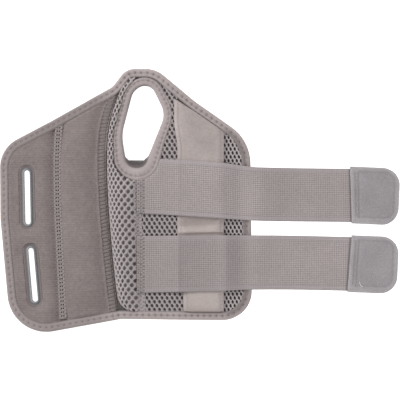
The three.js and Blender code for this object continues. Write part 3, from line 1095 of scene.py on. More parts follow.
@dataclass
class Shell:
    """The two smooth padded panels, the slot rings and the seams that join the cloth."""

    pattern: Pattern
    outline: Loop
    slots: dict[str, Slot] = field(default_factory=lambda: {
        "slot_ring_upper": Slot(-130.1, 2.0, 1.2),
        "slot_ring_lower": Slot(-125.9, -56.4, 5.0),
    })
    rim: float = 3.9
    crown: float = 1.0
    crown_run: float = 16.0
    seam_dip: float = 1.5
    seam_run: float = 11.0
    pillow: float = 1.3
    ring_dip: float = 1.1
    ring_run: float = 9.0
    band_half: float = 2.4
    band_top: float = 3.55
    overlock_shift: float = -4.15
    scallop: float = 3.8
    valley: float = 0.9
    slot_fall: float = 0.5
    slot_fall_run: float = 15.0
    rung_pitch: float = 2.78
    rung_wide: float = 1.6
    rung_long: float = 6.2
    seam_reach: float = 0.16
    slack: float = 0.3
    pucker: float = 0.10
    pucker_pitch: float = 7.1
    welt: float = 0.9
    face_from: float = 1.5
    panels: list[PaddedPanel] = field(default_factory=list)

    def _overlock(self, y: Array) -> Array:
        """X of the middle of the overlock's band."""
        return self.pattern.mesh_seam(y) + self.overlock_shift

    def _ring_gap(self, places: Array) -> Array:
        """Distance of places from the nearest slot ring."""
        return np.min([slot.clear_of(places) for slot in self.slots.values()], axis=0)

    def top(self, places: Array) -> Array:
        """Height of the padded face, sunk along the seams and round the rings."""
        from_edge = self.outline.distance(places) - self.pattern.edge_lip
        crown = self.crown * ease(0, self.crown_run, from_edge)
        x, y = places.T
        first, last = self.pattern.panel_seam(y), self._overlock(y) - self.band_half
        from_seam = np.minimum(np.abs(x - first), np.maximum(last - x, 0))
        seam = self.seam_dip * (1 - ease(0, self.seam_run, from_seam))
        ring = self.ring_dip * (1 - ease(0, self.ring_run, np.abs(self._ring_gap(places))))
        across = np.clip((x - first) / (last - first), 0, 1)
        fall = self.slot_fall * (x < first) * (1 - ease(0, self.slot_fall_run, first - x))
        return self.rim + crown - seam - ring - fall + self.pillow * 4 * across * (1 - across)

    def clearance(self, places: Array) -> Array:
        """Distance of places from what is sewn on or set in: tape, seam threads and rings."""
        x, y = places.T
        from_tape = self.outline.distance(places) - self.pattern.edge_lip - self.slack
        from_flatlock = np.abs(x - self.pattern.panel_seam(y)) - self.band_half - self.slack
        from_overlock = np.abs(x - self._overlock(y)) - self.band_half - self.slack
        return np.minimum.reduce([from_tape, from_flatlock, from_overlock, self._ring_gap(places)])

    def build(self) -> None:
        """Make the two panels, even their faces and swell them between what is sewn down."""
        for node in ("slot_panel", "middle_panel"):
            panel = PaddedPanel(node, "shell_cloth")
            panel.build(lambda places: 1 - ease(0.5, 7, self.clearance(places)), self._even)
            self.panels.append(panel)

    def _even(self, piece: Piece) -> None:
        """Bring the open upper face to its smooth form, with slack puckers beside the seams."""
        places = places_of(piece)
        spots = places[:, :2]
        share = ease(-0.2, 1.6, self.clearance(spots))
        share *= ease(0.25, 0.6, normals_of(piece)[:, 2])
        share[places[:, 2] < self.face_from] = 0
        form = self.top(spots)
        x, y = spots.T
        from_mesh = x - self.pattern.mesh_seam(y)
        from_seam = np.minimum(np.abs(x - self.pattern.panel_seam(y)), np.abs(from_mesh))
        near = 1 - ease(0, 9, from_seam - self.band_half)
        filled = ease(14, 40, y) * hump(np.abs(from_mesh), 1.2, 1.4)
        wave = np.sin(y * 2 * math.pi / self.pucker_pitch + 0.7 * np.sin(y / 9))
        form += self.welt * filled + self.pucker * near * wave
        places[:, 2] += share * (form - places[:, 2])
        places[:, 0] += self.seam_reach * ease(-1.6, -0.35, from_mesh)
        move_to(piece, places)

    def dress(self) -> None:
        """Finish the panels, rings and seams."""
        knit = KnitFinish().material()
        for panel in self.panels:
            self._sew(panel.piece)
            panel.dress(knit)
        moulded = RingFinish().material()
        for node, slot in self.slots.items():
            finish_piece(slot.ring(f"{node}_moulding"), moulded, [node])
        pale = ThreadFinish("flatlock_thread", linear(132, 122, 121), linear(170, 160, 158))
        dull = ThreadFinish("overlock_thread", linear(126, 116, 115), linear(152, 142, 140))
        # The beds are painted darker than the cloth, as the shade between the rungs; the flatlock's most.
        gap = ThreadFinish("flatlock_gap", linear(88, 80, 79), linear(110, 101, 100))
        dull_gap = ThreadFinish("overlock_gap", linear(122, 113, 112), linear(138, 128, 127))
        self._ladder("flatlock_seam", pale, gap, self.pattern.panel_seam, 1.0,
                     ((-2.05, 1.7), (-0.1, 0.8), (2.1, 2.2)))
        self._ladder("overlock_seam", dull, dull_gap, lambda y: self._overlock(y) - 0.55, 0.65,
                     ((-2.4, 0.9),))

    def _rungs(self) -> Array:
        """Places of the seams' rungs along the brace."""
        return np.arange(-97.0, 96.0, self.rung_pitch)

    def _sew(self, piece: Piece) -> None:
        """Press a panel in between the flatlock's rungs, and mark painted shade in those dents, in the valley
        beside the mesh and on the slopes down to both seams.
        """
        y = self._rungs() + self.rung_pitch / 2
        spots = joined(self.pattern.panel_seam(y) - self.scallop, y)
        pressed = dent(piece, Surface(piece).stand(spots), 1.2, 0.45)
        x, along, _ = places_of(piece).T
        from_mesh = self.pattern.mesh_seam(along) - x
        from_flatlock = self.pattern.panel_seam(along) - x
        dots = 0.5 + 0.5 * np.sin(along * 2 * math.pi / self.rung_pitch)
        valley = hump(from_mesh, self.valley, 0.8) * (1 - ease(16, 44, along))
        slope_shade = 0.03 * hump(from_mesh, 9, 8) + 0.09 * hump(from_flatlock, 6, 5)
        # Painted shade: needle dents, a dotted dark line in the valley by the mesh, soft darkening toward
        # each seam.
        mark(piece, "shade", np.maximum.reduce([0.55 * pressed, valley * (0.2 + 0.35 * dots), slope_shade]))

    def _ladder(self, node: str, finish: ThreadFinish, shade: ThreadFinish, line: Field, relief: float,
                chains: Sequence[tuple[float, float]]) -> None:
        """Rungs of thread over a flat band painted dark as the shade between them, bridged by chains that
        leave needle holes between them.

        Args:
            node: the band's solid.
            finish: the thread's finish.
            shade: the band's finish, seen between the threads.
            line: gives the x of the ladder's middle along y.
            relief: how far the rungs stand up, as a share of the full height.
            chains: for each chain, its distance from the middle and its width.
        """
        bed = soft_copy(node, f"{node}_bed", 0.5, 3)
        places = places_of(bed)
        places[:, 2] -= 0.45 * relief * (places[:, 2] > self.band_top - 0.3)
        move_to(bed, places)
        low, high = places[:, 1].min(), places[:, 1].max()
        y = self._rungs()
        y = y[(y > low + 0.9) & (y < high - 0.6)]
        lean = line(y + 0.5) - line(y - 0.5)
        threads = Threads(f"{node}_threads", finish)
        for strand in (-0.27, 0.27):
            across = y + strand * self.rung_wide
            rungs = joined(line(across), across, np.full(len(y), self.band_top + 0.05))
            slants = joined(np.ones(len(y)), 0.08 - lean)
            threads.lay(rungs, slants, self.rung_long, 0.6 * self.rung_wide, 0.8 * relief)
        between = y + self.rung_pitch / 2
        for offset, wide in chains:
            chain = joined(line(between) + offset, between, np.full(len(y), self.band_top))
            threads.lay(chain, joined(lean, np.ones(len(y))), 2.2, wide, 0.7)
        finish_piece(bed, shade.material(), [node])
        threads.dress()


@dataclass(frozen=True)
class Net:
    """A staggered net: its pitches, a hole's half sizes and lean, its pits' painted dark and its threads'
    painted light, which dulls them below nought.
    """

    across: float
    along: float
    hole_across: float
    hole_along: float
    lean: float
    dark: float
    pale: float

    def cell(self) -> tuple[Array, Array]:
        """The edge of one cell, twelve points, and the hole's edge at the same bearings."""
        half = self.across / 2
        tip = self.along / 4 + self.across ** 2 / (4 * self.along)
        side = self.along / 2 - tip
        quarter = (half / 2, (tip + side) / 2)
        edge = np.array([
            (half, 0), (half, side), quarter, (0, tip), (-quarter[0], quarter[1]), (-half, side),
            (-half, 0), (-half, -side), (-quarter[0], -quarter[1]), (0, -tip), (quarter[0], -quarter[1]),
            (half, -side),
        ])
        bearing = np.arctan2(edge[:, 1] / self.hole_along, edge[:, 0] / self.hole_across)
        hole = joined(self.hole_across * np.cos(bearing), self.hole_along * np.sin(bearing))
        return edge, hole + joined(hole[:, 1] * self.lean, np.zeros(len(hole)))

    def centres(self, u_span: tuple[float, float], v_span: tuple[float, float]) -> Array:
        """Middles of the cells over a span across and along."""
        def stops(span: tuple[float, float], pitch: float) -> Array:
            """Whole steps of a pitch over a span."""
            return np.arange(math.floor(span[0] / pitch), math.ceil(span[1] / pitch) + 1)

        row, step = np.meshgrid(stops(v_span, self.along / 2), stops(u_span, self.across), indexing="ij")
        u = (step + 0.5 * (row % 2)) * self.across
        return joined(u.ravel(), row.ravel() * self.along / 2)


@dataclass(frozen=True)
class NeedleRows:
    """Staggered rows of needle holes along a seam, some of them deeper than others."""

    columns: tuple[float, ...]
    pitch: float
    spread: float
    sway: float
    vary: float
    beat: float
    shift: float

    def depth(self, across: Array, along: Array) -> Array:
        """How far into a hole each place lies, from 0 to 1."""
        holes = np.zeros(len(along))
        for column, offset in enumerate(self.columns):
            gap = ((along / self.pitch + 0.5 * (column % 2)) % 1 - 0.5) * self.pitch
            aside = across - offset - self.sway * np.sin(along * 1.7 + column)
            strong = 1 - self.vary + self.vary * np.sin(along * self.beat + self.shift * column)
            holes = np.maximum(holes, strong * np.exp(-(aside ** 2 + gap ** 2) / self.spread))
        return holes


@dataclass
class StayArch:
    """How far the stay under the pocket lifts the cloth, along X."""

    height: float = 2.4
    springs: float = -38.0
    crown_from: float = -12.0
    crown_to: float = 12.0
    lands: float = 34.0

    def lift(self, x: Array) -> Array:
        """Rise of the cloth at a place across the brace."""
        rises = ease(self.springs, self.crown_from, x)
        return self.height * rises * (1 - ease(self.crown_to, self.lands, x))


@dataclass
class MeshFace:
    """The spacer mesh: a dark body under a net, arched beside its seam and sewn down along one line."""

    pattern: Pattern
    outline: Loop
    hole: Loop
    stay: StayArch
    node: str = "mesh_panel"
    thick: float = 4.4
    rim: float = 4.0
    rim_run: float = 6.0
    arch: float = 6.9
    arch_skew: float = 0.56
    groove: float = 0.6
    groove_half: float = 4.0
    valley: float = 0.8
    lip_under: float = 3.2
    sunk: float = 1.45
    foot_run: tuple[float, float] = (1.4, 4.0)
    foot_low: float = 0.12
    toe: float = 0.5
    toe_grows: tuple[float, float] = (-80.0, -82.5)
    foot_out: float = 0.25
    net_end: float = 0.35
    tuck_reach: float = 16.0
    hang_to: float = 3.0
    hang_share: float = 0.62
    hang_cells: float = 0.9
    hang_slack: float = 0.02
    fade: Curve = Curve(((-88, 0), (-70, 0.9), (-20, 1), (4, 0.9), (18, 0.5), (34, 0.3), (88, 0.2)))
    tuck: Curve = Curve(((-90, 12), (-83.3, 7.6), (-80.6, 3.4), (-76, 0.9), (-72, 0.3), (-67, 0), (90, 0)))
    anchor: Curve = Curve(((-90, -44.6), (14, -48.6), (30, -48.9)))
    bulge_net: Net = Net(5.4, 6.4, 1.45, 1.52, -0.1, 0.67, 0.11)
    flat_net: Net = Net(3.8, 5.9, 0.98, 1.5, -0.28, 0.84, -0.11)
    flank_from: float = 16.0
    flank_squeeze: float = 0.82
    # Down the flank the pits get more painted shade and the threads more painted light.
    flank_dark: float = 0.14
    flank_pale: float = 0.26
    least_room: float = 1.7
    crest: float = 0.3
    pit: float = 1.3
    backing: float = 1.6
    squeeze: Curve = Curve(((0, 1.0), (0.28, 1.0), (0.5, 0.86), (0.66, 0.71), (0.82, 0.56), (1.0, 0.44)))
    band_span: tuple[float, float] = (-1.7, 4.0)
    band_run: tuple[float, float] = (-88.0, 23.0)
    needles: NeedleRows = NeedleRows((-0.9, 1.0, 2.8), 2.9, 0.46, 0.35, 0.28, 0.61, 2.3)
    net_run: tuple[float, float] = (-92.0, 94.0)
    row_step: float = 2.0
    thumb_axis: float = -46.0
    thumb_from: float = 22.0
    covered: list[Field] = field(default_factory=list)

    def bulge_edge(self, y: Array) -> Array:
        """X of the arch's left edge, which follows the seam and rounds off at its lower end."""
        return self.pattern.mesh_seam(y) + self.tuck(y)

    def arch_height(self, places: Array) -> Array:
        """Rise of the hollow arch between its left edge and the sewn line."""
        x, y = places.T
        left = self.bulge_edge(y)
        across = np.clip((x - left) / (self.pattern.anchor_x - left), 0, 1)
        return self.arch * self.fade(y) * np.sin(math.pi * across ** self.arch_skew)

    def _gaps(self, places: Array) -> tuple[Array, Array]:
        """Distances of places from the inner edges of the outer tape and of the thumb hole's tape."""
        from_edge = self.outline.distance(places) - self.pattern.edge_lip
        return from_edge, self.hole.distance(places) - self.pattern.thumb_lip(places[:, 1])

    def top(self, places: Array) -> Array:
        """Height of the mesh's face."""
        x = places[:, 0]
        from_edge, from_thumb = self._gaps(places)
        body = self.rim + (self.thick - self.rim) * ease(0, self.rim_run, from_edge)
        groove = self.groove * (1 - ease(0, self.groove_half, np.abs(x - self.anchor(places[:, 1]))))
        beyond = ease(-self.groove_half, self.groove_half, x - self.pattern.pocket_right)
        valley = self.valley * beyond * ease(-0.3, self.rim_run, from_edge)
        height = body + self.arch_height(places) - groove - valley + self.stay.lift(x)
        under = np.minimum(from_edge, from_thumb) < 0.3
        return np.where(under, np.minimum(height, self.lip_under + self.stay.lift(x)), height)

    def build(self) -> None:
        """Make the sunk body, then the net on it and the sewn line."""
        self.body = soft_copy(self.node, "mesh_panel_body", 1.1, 6)
        self._seat()
        self.net = join([self._flat_cells(), self._bulge_cells(), self._band()])
        self.net.name = "mesh_panel_net"
        self.net.data.name = "mesh_panel_net"

    def _seat(self) -> None:
        """Sink the body under the net, and set its foot on the table along the seam."""
        places = places_of(self.body)
        spots = places[:, :2].copy()
        x, y = spots.T
        up = normals_of(self.body)[:, 2]
        places[:, 2] -= self.sunk * ease(0.2, 0.6, up) * ease(-1.5, 0.5, self._clear(spots))
        from_seam = x - self.pattern.mesh_seam(y)
        under = ease(0.05, -0.25, up) * (1 - ease(*self.foot_run, from_seam))
        places[:, 2] += under * (self.foot_low - places[:, 2])
        toe = self.toe * (1 + ease(*self.toe_grows, y))
        places[:, 0] -= toe * under * (1 - ease(0.5, 1.6, from_seam))
        tucked = (self.tuck(y) > 0.05) & (np.abs(from_seam) < self.tuck_reach)
        ceiling = self.top(places[:, :2]) - self.sunk - 0.8 * (up < 0)
        places[tucked, 2] = np.minimum(places[tucked, 2], ceiling[tucked])
        beside = 1 - ease(0.2, 2.0, from_seam)
        above = ease(self.hang_to, self.hang_to + 1, places[:, 2])
        places[:, 0] += beside * (self.sunk * above - self.foot_out * (1 - above))
        move_to(self.body, places)

    def _clear(self, places: Array) -> Array:
        """Distance of places from the tapes, less than nought under them."""
        from_edge, from_thumb = self._gaps(places)
        outside = ~self.outline.holds(places) | self.hole.holds(places)
        return np.where(outside, -9.0, np.minimum(from_edge, from_thumb))

    def _shows(self, places: Array) -> Array:
        """Whether a cell at a place may be seen."""
        from_edge, from_thumb = self._gaps(places)
        shown = (self._clear(places) > -2.6) & (from_edge + from_thumb > self.least_room)
        for cover in self.covered:
            shown &= ~cover(places)
        return shown

    def _arc_table(self) -> tuple[Array, Array, Array]:
        """Lengths of the cloth over the arch, gathered more and more from the sewn line to the seam."""
        rows = np.arange(-96.0, 98.1, self.row_step)
        shares = np.linspace(0, 1, 80)
        squeeze = self.squeeze((shares[1:] + shares[:-1]) / 2)
        lengths = []
        spots = []
        for y in rows:
            start = self.anchor(y)
            x = start + shares * (self.bulge_edge(y) + self.net_end - start)
            lengths.append(np.concatenate([[0], np.cumsum(np.abs(np.diff(x)) / squeeze)]))
            spots.append(x)
        return rows, np.array(lengths), np.array(spots)

    def _bulge_cells(self) -> Piece:
        """The net over the arch, spaced by the length of the cloth from the sewn line."""
        rows, lengths, spots = self._arc_table()

        def spread(u: Array, v: Array) -> Array:
            """Places on the table for lengths u from the sewn line at rows v."""
            row = np.clip(((v - rows[0]) / self.row_step).astype(int), 0, len(rows) - 2)
            share = np.clip((v - rows[row]) / self.row_step, 0, 1)
            x = np.zeros(len(u))
            for index in np.unique(row):
                here = row == index
                first = np.interp(u[here], lengths[index], spots[index])
                second = np.interp(u[here], lengths[index + 1], spots[index + 1])
                x[here] = first + (second - first) * share[here]
            return joined(x, v)

        def hang(u: Array, v: Array) -> Array:
            """How far the cloth beyond the arch's edge hangs down its side."""
            past = np.maximum(u - np.interp(v, rows, lengths[:, -1]), 0)
            edge = joined(self.bulge_edge(v) + self.net_end, v)
            room = np.maximum(self.top(edge) - self.hang_to, 0)
            return np.minimum(past * self.hang_share, room + past * self.hang_slack)

        net = self.bulge_net
        centres = net.centres((0.5, lengths[:, -1].max() + 2 * net.across), self.net_run)
        limit = np.interp(centres[:, 1], rows, lengths[:, -1])
        kept = (centres[:, 0] > -net.across * 0.1) & (centres[:, 0] < limit + net.across * self.hang_cells)
        return self._cells("bulge_net", net, centres[kept], spread, hang)

    def _flat_cells(self) -> Piece:
        """The net on the flat cloth and down the flank."""
        def spread(u: Array, v: Array) -> Array:
            """Places on the table, drawn closer down the flank."""
            beyond = np.maximum(u - self.flank_from, 0)
            return joined(u - beyond * (1 - self.flank_squeeze), v)

        net = self.flat_net
        centres = net.centres((-64, 44), self.net_run)
        right_of_line = centres[:, 0] > self.anchor(centres[:, 1]) + net.across * 0.8
        palm_side = centres[:, 0] > self.thumb_axis
        kept = np.where(centres[:, 1] > self.thumb_from, palm_side, right_of_line)
        return self._cells("flat_net", net, centres[kept], spread)

    def _cells(self, name: str, net: Net, centres: Array, spread: Lay, hang: Optional[Lay] = None) -> Piece:
        """Cells of a net: a raised crest between neighbours, a rim, a wall and a floor.

        Args:
            name: the piece's name.
            net: the net's pitches.
            centres: middles of the cells, of which those that show are made.
            spread: turns places on the cloth into places on the table.
            hang: how far places on the cloth hang below the mesh's face, where any do.

        Returns:
            The new object, with the depth of each point kept as an attribute.
        """
        centres = centres[self._shows(spread(*centres.T))]
        edge, hole = net.cell()
        count = len(edge)
        rings = [
            (edge * 0.5 + hole * 0.5, self.crest * 0.8, 0.0),
            (hole, -0.25, 0.35),
            (hole * 0.86, -self.pit * 0.75, 0.9),
            (hole * 0.45, -self.pit, 1.0),
        ]
        lattice = (centres[:, None] + edge[None]).reshape(-1, 2)
        keys = np.floor(lattice / 0.05 + 0.137).astype(int)
        _, first, shared = np.unique(keys, axis=0, return_index=True, return_inverse=True)
        corners = shared.reshape(-1, count)
        shell = len(first)
        inner = (centres[:, None] + np.vstack([ring[0] for ring in rings])[None]).reshape(-1, 2)
        cloth = np.vstack([lattice[first], lattice[first], inner])

        def values(crest: float, backing: float, column: int) -> Array:
            """A value for each point: on the crests, on the backing and round the rings."""
            inside = np.tile(np.repeat([ring[column] for ring in rings], count), len(centres))
            return np.concatenate([np.full(shell, crest), np.full(shell, backing), inside])

        rises = values(self.crest, -self.backing, 1)
        depths = values(0.0, 1.0, 2)
        inside = 2 * shell + np.arange(len(inner)).reshape(len(centres), len(rings), count)
        loops = np.concatenate([corners[:, None], inside], axis=1)
        faces = walls_between(loops[:, :-1], loops[:, 1:])
        faces += loops[:, -1].tolist() + (shell + corners[:, ::-1]).tolist()
        sides = np.stack([corners, np.roll(corners, -1, axis=1)], axis=-1).reshape(-1, 2)
        _, kept, uses = np.unique(np.sort(sides, axis=1), axis=0, return_index=True, return_counts=True)
        start, end = sides[kept[uses == 1]].T
        faces += joined(end, start, shell + start, shell + end).tolist()
        spots = spread(*cloth.T)
        stood = self._stand(spots, rises)
        if hang:
            stood[:, 2] -= hang(*cloth.T)
        piece = made_of(name, stood, faces)
        # Painted light on the threads, most on the flank, dulling them where below nought; painted shade
        # deepening down each hole, over the dark colour of the inner layer.
        flank = ease(self.flank_from - 2, self.flank_from + 6, spots[:, 0])
        pale = net.pale + (self.flank_pale - net.pale) * flank
        mark(piece, "pale", np.maximum(pale, 0))
        mark(piece, "pit", np.maximum(depths * (net.dark + self.flank_dark * flank), -pale))
        face_out(piece)
        return piece

    def _stand(self, places: Array, rises: Array) -> Array:
        """Places raised from the mesh's face along its normals."""
        step = 0.5
        across = self.top(places + [step, 0]) - self.top(places - [step, 0])
        along = self.top(places + [0, step]) - self.top(places - [0, step])
        normal = joined(-across / (2 * step), -along / (2 * step), np.ones(len(places)))
        normal /= np.linalg.norm(normal, axis=1)[:, None]
        return joined(places, self.top(places)) + normal * rises[:, None]

    def _band(self) -> Piece:
        """The pressed strip along the sewn line, where the net's cells are crushed and needle holes show."""
        (left, right), (low, high) = self.band_span, self.band_run
        piece = primitive("grid", x_subdivisions=14, y_subdivisions=round((high - low) / 0.4), size=2.0)
        flat = places_of(piece) * MM
        across = left + (flat[:, 0] + 1) / 2 * (right - left)
        y = low + (flat[:, 1] + 1) / 2 * (high - low)
        holes = self.needles.depth(across, y)
        crushed = 0.14 * np.sin(y * 2.6 + 2.0 * np.sin(across * 1.9))
        crushed *= np.sin(across * 2.3 + 0.7 * np.sin(y * 0.9))
        places = joined(self.anchor(y) + across, y)
        edge = 0.5 * ease(0.7, 1.0, np.abs(flat[:, 0]))
        move_to(piece, self._stand(places, 0.42 - 0.45 * holes - edge + crushed))
        # Painted shade in the needle holes and crushed cells, over the dark inner layer's colour.
        mark(piece, "pit", 0.92 * holes + np.clip(-1.6 * crushed, 0, 0.2))
        modify(piece, "SOLIDIFY", thickness=1.0 * MM, offset=-1.0)
        face_out(piece)
        return piece

    def dress(self) -> None:
        """Finish the body and the net, and sew the line down."""
        finish_piece(self.body, LiningFinish().material(), [self.node])
        finish_piece(self.net, NetFinish().material())
        y = np.arange(-84.1, 22.0, self.needles.pitch)
        finish = ThreadFinish("mesh_line_thread", linear(140, 131, 130), linear(182, 172, 171))
        threads = Threads("mesh_line_threads", finish)
        for shift, lean in ((-0.7, 0.9), (0.9, -0.9)):
            places = joined(self.anchor(y) + shift, y)
            stood = self._stand(places, np.full(len(y), 0.36))
            threads.lay(stood, np.array([lean, 1.0]), 1.9, 0.5)
        threads.dress()


@dataclass
class FoldedTape:
    """A tape folded over an edge and sewn through, swept round a loop."""

    pattern: Pattern
    stay: StayArch
    loop: Loop
    node: str = ""
    height: float = 4.4
    flat_width: float = 16.4
    rests_on: tuple[str, ...] = ()
    turn: float = 1.2
    tape: float = 0.9
    step: float = 0.7
    stitch_share: float = 0.55
    stitch_pitch: float = 4.6
    wall_lean: float = 0.0
    wall_shade: float = 0.0
    lip_shade: float = 0.5
    stitch_shade: float = 0.52

    def lip(self, y: Array) -> Array:
        """Width of the lip."""
        return np.full(len(y), self.pattern.edge_lip)

    def rise(self, places: Array) -> Array:
        """How far the tape is lifted."""
        return self.stay.lift(places[:, 0])

    def slope(self, places: Array) -> Array:
        """How far the tape's outer edge lies below its inner one."""
        return np.zeros(len(places))

    def foot(self, places: Array) -> Array:
        """How far the foot of the wall stands out along Y."""
        return np.zeros(len(places))

    def tone(self, places: Array, share: float, shade: float) -> Array:
        """Shade of a line along the tape.

        Args:
            places: the edge that the tape is folded over.
            share: the line's distance from the edge, as a share of the lip.
            shade: how shaded the section is there.

        Returns:
            The shade at each place.
        """
        return np.full(len(places), shade)

    def section(self) -> list[tuple[float, float, float]]:
        """The folded section: share of the lip's width, height, and how much painted shade it has."""
        h, seat, wall, edge = self.height, self.stitch_share, self.wall_shade, self.lip_shade
        rest, low, high = 1 - seat, self.tape, h - self.tape
        return [
            (1.12, h - 1.0, edge), (1.08, h - 0.65, edge), (1.02, h - 0.3, 0.8 * edge),
            (0.95, h - 0.03, 0.3 * edge), (seat + 0.62 * rest, h + 0.12, 0.0),
            (seat + 0.34 * rest, h + 0.07, 0.0), (seat + 0.12 * rest, h, 0.12), (seat - 0.12 * rest, h, 0.12),
            (seat - 0.34 * rest, h + 0.06, 0.0), (0.55 * seat, h + 0.06, 0.0), (0.20, h - 0.10, 0.0),
            (0.10, h - 0.48, 0.2 * wall), (0.03, h - 1.1, 0.8 * wall), (0.0, h * 0.5, wall),
            (0.03, 1.1, wall), (0.10, 0.42, wall), (0.20, 0.06, wall), (0.5, 0.0, 0.0), (1.0, 0.0, 0.0),
            (1.0, low, 0.0), (0.24, low, 0.0), (0.24, high, 0.0), (0.85, high, 0.0), (1.05, high - 0.4, edge),
        ]

    def build(self) -> None:
        """Sweep the folded section and press the needle holes in."""
        places, runs = self.loop.spaced(self.step)
        inward = joined(-runs[:, 1], runs[:, 0])
        lips = self.lip(places[:, 1])
        h = self.height
        columns = []
        for share, z, _ in self.section():
            outer = 1 - ease(0.2, 1.0, np.array(share))
            drop = np.clip((h - self.turn - z) / (h - 2 * self.turn), 0, 1) * outer
            spot = places + inward * (share * lips - self.wall_lean * drop)[:, None]
            spot[:, 1] += self.foot(places) * drop
            fall = self.slope(spot) * (1 - share) * (z > h / 2)
            columns.append(joined(spot, z + self.rise(spot) * (z > h / 4) - fall))
        self.piece = swept(f"{self.node}_tape", columns)
        self.line = Loop(places + inward * (lips * self.stitch_share)[:, None])
        holes, _ = self.line.spaced(self.stitch_pitch, self.stitch_pitch / 2)
        spots = joined(holes, self.line_height(holes))
        pressed = dent(self.piece, spots, 0.95, 0.6)
        shade = np.stack([self.tone(places, row[0], row[2]) for row in self.section()], axis=1).ravel()
        # Painted shade: along the lips, the thumb hole's inner wall, the needle holes and the tone along the
        # loop.
        mark(self.piece, "shade", np.maximum(shade, self.stitch_shade * pressed))

    def line_height(self, places: Array) -> Array:
        """Height of the tape along its stitch line."""
        return self.height + self.rise(places) - self.slope(places) * (1 - self.stitch_share)

    def dress(self, material: Material, threads: Threads) -> None:
        """Finish the tape and lay its stitches.

        Args:
            material: the tape's material.
            threads: the rows that take its stitches.
        """
        finish_piece(self.piece, material, [self.node])
        middles, runs = self.line.spaced(self.stitch_pitch)
        stood = joined(middles, self.line_height(middles) - 0.12)
        threads.lay(stood, runs, self.stitch_pitch * 0.6, 0.46)
        length = sum(np.linalg.norm(end - start) for start, end in edges_of(self.loop.points))


@dataclass
class EdgeTape(FoldedTape):
    """The tape round the outer edge, whose ends overlap under the bulge."""

    node: str = "edge_binding"
    rests_on: tuple[str, ...] = ("slot_panel", "middle_panel", "mesh_panel")
    lip_shade: float = 0.55
    stitch_shade: float = 0.7
    overlap: float = 0.55
    overlap_x: float = -64.2
    overlap_y: float = -70.0
    flank_fall: float = 1.7

    def rise(self, places: Array) -> Array:
        """How far the tape is lifted, by the stay and where its ends overlap."""
        x, y = places.T
        return self.stay.lift(x) + self.overlap * hump(x, self.overlap_x, 2.0) * (y < self.overlap_y)

    def slope(self, places: Array) -> Array:
        """How far the tape's outer edge lies below its inner one, down the flank."""
        return self.flank_fall * ease(22, 34, places[:, 0])

    def tone(self, places: Array, share: float, shade: float) -> Array:
        """Painted shade on the tape: darker by the slots, most above them, inside the flank and at the edge
        where its ends overlap.
        """
        x, y = places.T
        left = ease(-60, -84, x)
        above = left * ease(26, 44, y)
        flank = ease(17, 25, x) * ease(0.15, 0.7, np.array(share))
        lap = 0.4 * hump(x, self.overlap_x - 0.4, 0.5) * (y < self.overlap_y)
        return np.maximum(shade * (1 - above), 0.28 * left + 0.12 * above + 0.46 * flank + lap)


@dataclass
class ThumbTape(FoldedTape):
    """The tape round the thumb hole, sewn over the upper strap's corner."""

    node: str = "thumb_binding"
    height: float = 5.0
    flat_width: float = 17.5
    rests_on: tuple[str, ...] = ("mesh_panel",)
    stitch_share: float = 0.72
    stitch_pitch: float = 3.8
    wall_lean: float = 0.5
    wall_shade: float = 0.95
    lip_shade: float = 0.22
    strap_rise: float = 1.3
    foot_y: float = 29.8

    def lip(self, y: Array) -> Array:
        """Width of the lip, wider at the wrist end."""
        return self.pattern.thumb_lip(y)

    def rise(self, places: Array) -> Array:
        """How far the tape is lifted, by the stay and over the strap's corner."""
        x, y = places.T
        return self.stay.lift(x) + self.strap_rise * ease(-54, -44, x) * (1 - ease(30, 40, y))

    def foot(self, places: Array) -> Array:
        """How far the foot of the wall stands out along Y, at the wrist end."""
        x, y = places.T
        return np.maximum(self.foot_y + np.maximum(np.abs(x + 48.0) - 5.8, 0) - y, 0)

    def tone(self, places: Array, share: float, shade: float) -> Array:
        """Painted shade on the tape, whose inner wall is painted dark at the wrist end and along the left."""
        from_left = ease(-44, -54, places[:, 0])
        aside = (0.7 - 0.35 * from_left) * ease(6, 10, np.abs(places[:, 0] + 47)) * (share < 0.3)
        return np.maximum(shade * (1 - aside), 0.04)


